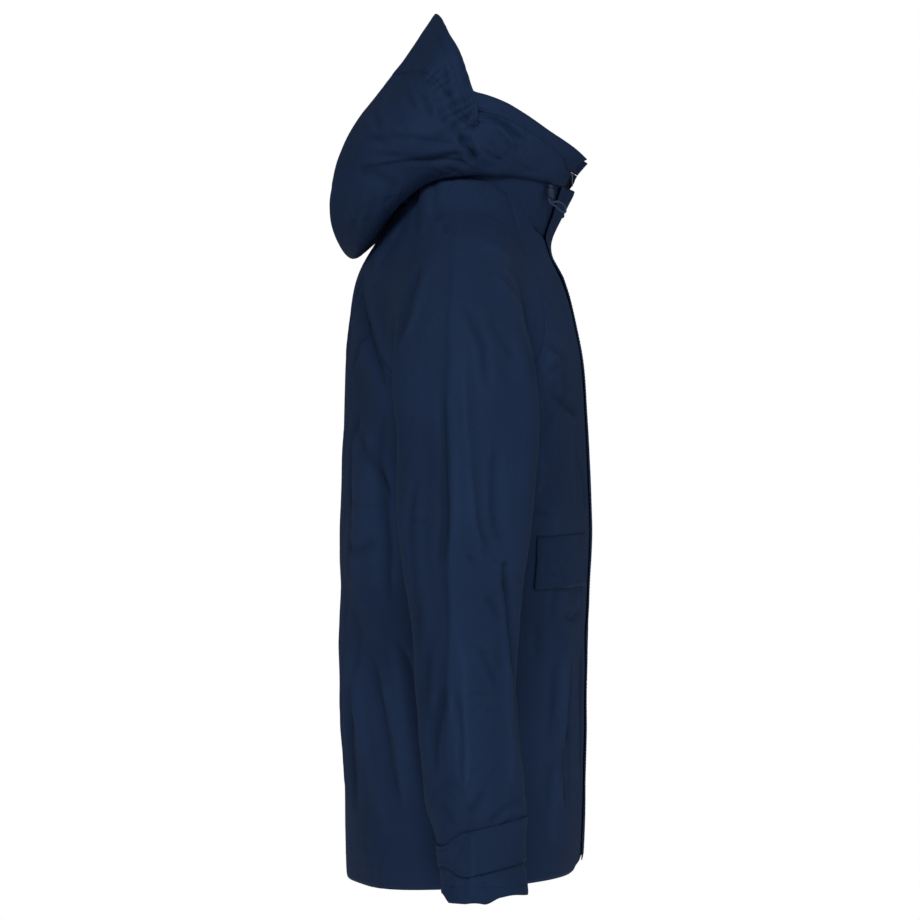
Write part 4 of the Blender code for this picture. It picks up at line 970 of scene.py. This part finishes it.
def raiseNeck(points):    # the panels' neck ends reach up over the collar, under the hood
    near, along = edgeDistance(points, neck)
    share = (1 - smoothStep(near, 0.0, neckShape["reach"])) * (1 - smoothStep(-points[:, 1], 0.050, 0.078))
    share = share * (1 - smoothStep(points[:, 1], 0.040, 0.066))
    points[:, 2] += neckShape["rise"] * share
    for i in np.nonzero(share > 0.001)[0]:
        place, skin, index, distance = collarTree.find_nearest(Vector(points[i]), 0.03)
        if place is None:
            continue
        above = (Vector(points[i]) - place).dot(skin)
        if above < neckShape["standOff"]:
            points[i] += np.array(skin) * (neckShape["standOff"] - above) * min(1.0, 4 * share[i])


def waveCuff(points):    # the sleeve's end isn't quite level
    forward, low = seenFromSide(points)[:, 0], points[:, 2].min() + 0.004
    rise = cuffShape["rise"] * (smoothStep(forward, 20, 40) + 1 - smoothStep(forward, -27, -18))
    rise = rise + cuffShape["wave"] * np.sin(forward / 7.0)
    points[:, 2] += np.maximum(rise, 0.0) * (1 - smoothStep(points[:, 2], low, low + cuffShape["reach"]))


collarTree = solidTree(["collar"])
frontTree = solidTree(["front_right", "front_left", "collar"])
clothPieces, seamGaps, openGaps, moves = {}, {}, {}, {}
for kind in clothCuts:
    for node in [kind + side for side in ("_right", "_left", "") if kind + side in nodes]:
        rimRule = (0.0, 0.55) if kind == "hood_side" else ()
        clothPieces[node] = clothFrom(node, clothLook["smoothing"], *rimRule)
hoodTree = treeOf([clothPieces["hood_side_right"].data])
sidePoints = pointsOf(clothPieces["hood_side_right"])
hoodCorner = sidePoints[sidePoints[:, 0] > sidePoints[:, 0].max() - 0.004].mean(axis=0)
neck = [line for node in bodyPanels for line in edgeLines(clothPieces[node], nearSolids(["collar"], True))]
brow = edgeLines(clothPieces["hood_peak"], nearSolids(hoodPanels[:3], True))


def reshape(node, kind, points):    # larger moves than folds; gives what they add to the height
    if kind in ("hood_side", "hood_casing"):
        closeHood(kind, points)
        if node.endswith("_right"):
            turnBack(points)
    elif node in bodyPanels:
        raiseNeck(points)
        if kind == "sleeve":
            waveCuff(points)
    elif kind == "storm_flap":    # the flap's sides lie against the neck
        share = smoothStep(np.abs(points[:, 0]), 0.014, 0.032) * smoothStep(points[:, 2], -0.13, -0.06)
        layOn(points, frontTree, neckShape["flapStandOff"], share)
    elif kind == "cuff_strap":    # its front end is drawn up a little
        points[:, 2] += cuffShape["strapSlope"] * np.maximum(seenFromSide(points)[:, 0] + 12, 0)
    elif kind == "pocket_flap":
        return -pocketSunk
    if not kind.startswith("hood"):
        return 0.0
    near, along = edgeDistance(points, brow)    # the hood is gathered onto the peak
    return (pucker(near, along, hoodShape["gather"], hoodShape["gatherHeight"], hoodShape["gatherReach"])
            + rolled(near, hoodShape["rimRoll"], hoodShape["rimReach"]))


def foldPiece(node):    # what each corner of a piece moves by, before the seams are drawn together
    piece, kind = clothPieces[node], kindOf(node)
    start, normals = pointsOf(piece), normalsOf(piece)
    points = start.copy()
    inHood, others = kind.startswith("hood"), [name for name in bodyPanels if name != node]
    if inHood:
        others = [name for name in hoodPanels if name != node]
    seams = [] if kind in laidPieces else edgeLines(piece, nearSolids(others, True))
    near, along = edgeDistance(start, seams)
    allNear = edgeDistance(start, edgeLines(piece, lambda place: True))[0]
    height = foldsOf(node, clothCuts[kind][0], start, normals)
    if not inHood and kind not in overlays:
        height = height * smoothStep(near, 0.0, seamShape["fade"])
    if not inHood and kind != "collar":
        height = height + foldsOf(node, sharedHeight, start, normals)
    if kind not in overlays:
        height += pucker(near, along, seamShape["pucker"], seamShape["puckerHeight"], seamShape["reach"])
    roll = seamShape["roll"] * (0.5 if node in hoodPanels else 1.0)
    height = height + rolled(allNear, roll, seamShape["rollReach"]) + reshape(node, kind, points)
    moves[node] = (start, points + normals * height[:, None] - start, near)
    # painted shade: the fold height in millimetres, kept to darken troughs and lighten ridges in the base
    # colour
    setAttribute(piece, "paintedFoldShade", 1000 * height)
    openNear = allNear
    if kind not in laidPieces:
        openNear = edgeDistance(points, edgeLines(piece, nearSolids(others, False)))[0]
    seamGaps[node], openGaps[node] = 1000 * near, 1000 * openNear


for node in clothPieces:
    foldPiece(node)
joined = [(node, i) for node, (start, move, near) in moves.items()
          for i in np.nonzero(near < seamShape["sewn"])[0]]
seamTree = KDTree(len(joined))
for place, (node, i) in enumerate(joined):
    seamTree.insert(moves[node][0][i], place)
seamTree.balance()
for node, (start, move, near) in moves.items():    # edges sewn to each other move together
    mend = move.copy()
    for i in np.nonzero(near < seamShape["joinReach"])[0]:
        spot, place, distance = seamTree.find(start[i])
        if distance > seamShape["joinGap"]:
            continue
        mean = {}
        for found in seamTree.find_range(spot, seamShape["cornerGap"]):
            other, k = joined[found[1]]
            mean.setdefault(other, []).append(moves[other][1][k])
        goal = np.mean([np.mean(values, axis=0) for values in mean.values()], axis=0)
        own = np.mean(mean.get(node, [move[i]]), axis=0)
        mend[i] = move[i] + (goal - own) * (1 - smoothStep(near[i:i + 1], 0.0, seamShape["joinReach"]))
    setPoints(clothPieces[node], start + mend)
for side in ("_right", "_left"):
    strap, sleeve = clothPieces["cuff_strap" + side], clothPieces["sleeve" + side]
    points = pointsOf(strap)
    layOn(points, treeOf([sleeve.data]), cuffShape["strapStandOff"])
    setPoints(strap, points)
print("folds made")

waistSeam = {"level": -0.4095, "rowBelow": 5.0}    # metres; millimetres


def sewPiece(node):
    piece, cut = clothPieces[node], clothCuts[kindOf(node)]
    corners, faces, marks = [], [], np.minimum(seamGaps[node], 99.0)
    for distances, gaps in ((cut[3], seamGaps[node]), (cut[4], openGaps[node])):
        for distance in distances:
            sewRow(piece, gaps, distance, corners, faces)
            marks = np.minimum(marks, np.abs(gaps - distance))
    if node == "back":
        waist = 1000 * (pointsOf(piece)[:, 2] - waistSeam["level"])
        sewRow(piece, waist, -waistSeam["rowBelow"], corners, faces)
        marks = np.minimum(marks, np.minimum(np.abs(waist), np.abs(waist + waistSeam["rowBelow"])))
    setAttribute(piece, "stitchDistance", marks)
    return [rowPiece(node + "_stitches", corners, faces, "sewingThread")] if corners else []


sewn = {node: sewPiece(node) for node in clothPieces}
print("stitches made:", sum(len(row.data.polygons) for rows in sewn.values() for row in rows), "triangles")


def addAllowance(node, tree):    # a sewn edge goes on a little under the cloth that it is sewn to
    piece, near = clothPieces[node], moves[node][2]
    bm = bmesh.new()
    bm.from_mesh(piece.data)
    bm.normal_update()
    bm.verts.ensure_lookup_table()
    mapLayer = bm.loops.layers.uv.active
    edges = [edge for edge in bm.edges
             if edge.is_boundary and all(near[v.index] < seamShape["sewn"] for v in edge.verts)]
    ways, ends = {}, {}
    for edge in edges:
        a, b = edge.verts
        run = (b.co - a.co).normalized()
        way = (a.co + b.co) / 2 - edge.link_faces[0].calc_center_median()
        way = (way - run * way.dot(run)).normalized()
        for v in edge.verts:
            ways[v] = ways.get(v, Vector()) + way
    for v, way in ways.items():
        goal = v.co + way.normalized() * seamShape["allowance"]
        place, skin, index, distance = tree.find_nearest(goal, 0.005)
        if place is None:
            place, skin = goal, v.normal
        ends[v] = (place - skin * seamShape["allowanceUnder"], v)
    ends = {v: bm.verts.new(place, example) for v, (place, example) in ends.items()}
    for edge in edges:
        loop = edge.link_loops[0]
        a, b = loop.vert, loop.link_loop_next.vert
        face = bm.faces.new((b, a, ends[a], ends[b]))
        face.smooth = True
        spots = (loop.link_loop_next[mapLayer].uv, loop[mapLayer].uv)
        for own, spot in zip(face.loops, (spots[0], spots[1], spots[1], spots[0])):
            own[mapLayer].uv = spot
    bm.to_mesh(piece.data)
    bm.free()
    piece.data.update()


for group in (bodyPanels, hoodPanels):
    trees = [treeOf([clothPieces[other].data for other in group if other != node]) for node in group]
    for node, tree in zip(group, trees):
        addAllowance(node, tree)
print("seam allowances made")
for node, piece in clothPieces.items():
    finishCloth(piece, node)


# zip: tape, two rows of teeth that mesh, slider and pull
zipLook = {
    "pitch": 0.0030, "tooth": (0.0034, 0.0017, 0.0020), "corner": (0.16, 0.22), "top": (0.78, 0.70),
    "topShare": 0.3, "offset": 0.0010, "tape": 0.0007, "tapeRim": 0.0018, "ends": 0.0020, "spots": 160,
}
tape = clothFrom("zip_tape", 1, zipLook["tapeRim"])
tapePoints = pointsOf(tape)
setPoints(tape, tapePoints + normalsOf(tape) * ripples(tapePoints, 0.02, 0.0001, seed=4.0)[:, None])
finishCloth(tape, "zip_tape",
            zipLook["tape"], "zipTapeCloth")


def modelTooth():    # a block with its upright corners cut and a narrower top, its face at the origin
    wide, long, high = zipLook["tooth"]
    cutWide, cutLong = zipLook["corner"]
    topHigh = zipLook["topShare"] * high
    deselectAll()
    bpy.ops.mesh.primitive_cube_add(size=1.0)
    block = bpy.context.active_object
    bpy.ops.object.mode_set(mode="EDIT")
    bpy.ops.mesh.select_all(action="SELECT")
    bpy.ops.transform.resize(value=(1 / cutWide, 1 / cutLong, 1.0))    # one bevel cuts each side by its share
    pick(block, "EDGE", lambda edge: abs(edge.verts[0].co.z - edge.verts[1].co.z) > 0.5)
    bpy.ops.mesh.bevel(offset=1.0, segments=1, affect="EDGES")
    bpy.ops.mesh.select_all(action="SELECT")
    bpy.ops.transform.resize(value=(wide * cutWide, long * cutLong, high - topHigh))
    bpy.ops.transform.translate(value=(0, 0, -(high + topHigh) / 2))
    pick(block, "FACE", lambda face: face.normal.z > 0.9)
    bpy.ops.mesh.extrude_region_move(TRANSFORM_OT_translate={"value": (0, 0, topHigh)})
    bpy.ops.transform.resize(value=(*zipLook["top"], 1.0))
    return takeShape(block)


def zipLine(count):    # middle line of the chain's face, from hem to chin, and the way it faces
    tree = solidTree(["zip_chain"])
    heights = [v.co.z for v in nodes["zip_chain"].data.vertices]
    line, skins = [], []
    for level in np.linspace(min(heights) + zipLook["ends"], max(heights) - zipLook["ends"], count):
        place, skin, index, distance = tree.ray_cast(Vector((0, -0.4, level)), Vector((0, 1, 0)))
        if place is not None:
            line.append(place[:])
            skins.append(skin[:])
    return np.array(line), unitRows(np.array(skins))


def makeTeeth():
    tooth, (line, skins) = modelTooth(), zipLine(zipLook["spots"])
    lengths = lengthsAlong(line)
    corners, faces = [], []
    for i, mark in enumerate(np.arange(zipLook["ends"], lengths[-1] - zipLook["ends"], zipLook["pitch"] / 2)):
        middle = spotOn(line, lengths, mark)
        skin = unitRows(spotOn(skins, lengths, mark))
        ahead = unitRows(spotOn(line, lengths, mark + zipLook["ends"]) - middle)
        shift = np.cross(ahead, skin) * zipLook["offset"] * (1 if i % 2 else -1)
        copyTo(tooth, middle + shift, ahead, skin, corners, faces)
    teeth = rowPiece("zip_teeth", corners, faces, "zipPlastic")
    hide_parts("zip_chain")
    print("zip made:", len(faces), "faces")


makeTeeth()
for node, finish in (("zip_slider", "zipPlastic"), ("zip_pull", "pullMetal")):
    for i in range(len(nodes[node].data.materials)):
        nodes[node].data.materials[i] = finishes[finish]

# cord locks: ribbed barrel, neck and press button
lockLook = {
    "middle": (-0.06595, -0.09255, 0.0220), "radius": 0.00415, "height": 0.0140, "sides": 32,
    "barrelTop": 0.0042, "neckRun": (0.0046, 0.0022), "neckShare": 0.8, "button": 0.0031,
    "buttonHeight": 0.0026, "ribs": (-0.0040, -0.0016, 0.0008), "ribHeight": 0.0008, "ribStands": 0.00022,
}


def addDrum(name, middle, radius, low, high, bevel):
    deselectAll()
    bpy.ops.mesh.primitive_cylinder_add(vertices=lockLook["sides"], radius=radius, depth=high - low,
                                        location=(middle[0], middle[1], middle[2] + (low + high) / 2))
    drum = bpy.context.active_object
    drum.name = name
    applyModifier(drum, "BEVEL", width=bevel, segments=3, limit_method="ANGLE")
    return drum


def makeLock(side, mirror):
    middle = (lockLook["middle"][0] * mirror, *lockLook["middle"][1:])
    radius, button, half = lockLook["radius"], lockLook["button"], lockLook["height"] / 2
    neckLow, neckHigh = (half - depth for depth in lockLook["neckRun"])
    drums = [addDrum("cordLock_" + side, middle, radius, -half, half - lockLook["barrelTop"], 0.0009),
             addDrum("neck", middle, button * lockLook["neckShare"], neckLow, neckHigh, 0.0002),
             addDrum("button", middle, button, half - lockLook["buttonHeight"], half, 0.0007)]
    for level in lockLook["ribs"]:
        low, high = (level + way * lockLook["ribHeight"] / 2 for way in (-1, 1))
        drums.append(addDrum("rib", middle, radius + lockLook["ribStands"], low, high, 0.0002))
    deselectAll()
    for drum in drums:
        drum.select_set(True)
    bpy.context.view_layer.objects.active = drums[0]
    bpy.ops.object.join()
    lock = bpy.context.active_object
    bpy.ops.object.transform_apply(location=True, rotation=True, scale=True)
    lock.data.materials.clear()
    lock.data.materials.append(finishes["lockPlastic"])
    makeActive(lock)
    bpy.ops.object.shade_smooth_by_angle(angle=math.radians(40))
    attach(lock, "jacket")
    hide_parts("cord_lock_" + side)


makeLock("right", 1)
makeLock("left", -1)
print("cord locks made")

# light, floor and view
lightLook = {
    "softboxes": (("softboxAbove", (-3.4, 0.3, 2.4), 1.4, 56.0),
                  ("softboxFront", (-2.6, -3.4, 0.5), 1.6, 12.0)),
    "aim": (0, 0, -0.25), "sky": 0.10, "floorLevel": -1.5, "floorSize": 5, "floorGlow": 0.28,
}


def addSoftbox(name, place, size, power):
    deselectAll()
    aim = Vector(lightLook["aim"]) - Vector(place)
    bpy.ops.object.light_add(type="AREA", location=place, rotation=aim.to_track_quat("-Z", "Y").to_euler())
    lamp = bpy.context.active_object
    lamp.name = name
    lamp.data.size = size
    lamp.data.energy = power


for softbox in lightLook["softboxes"]:
    addSoftbox(*softbox)
world = bpy.data.worlds.new("whiteStudio")
world.use_nodes = True
scene.world = world
skyTree = world.node_tree
background = skyTree.nodes["Background"]
background.inputs["Color"].default_value = (1, 1, 1, 1)
rays = skyTree.nodes.new("ShaderNodeLightPath")
glow = levels(skyTree, rays.outputs["Is Camera Ray"], 0.0, 1.0, lightLook["sky"], 1.0)
skyTree.links.new(glow, background.inputs["Strength"])
deselectAll()
bpy.ops.mesh.primitive_plane_add(size=lightLook["floorSize"], location=(0, 0, lightLook["floorLevel"]))
floor = bpy.context.active_object
floor.name = "studioFloor"
palePaint = newMaterial("palePaint", Roughness=0.8, Base_Color=(0.8, 0.8, 0.8, 1),
                        Emission_Color=(1, 1, 1, 1), Emission_Strength=lightLook["floorGlow"])[0]
floor.data.materials.append(palePaint)
scene.view_settings.view_transform = "Standard"
print("light and floor made")
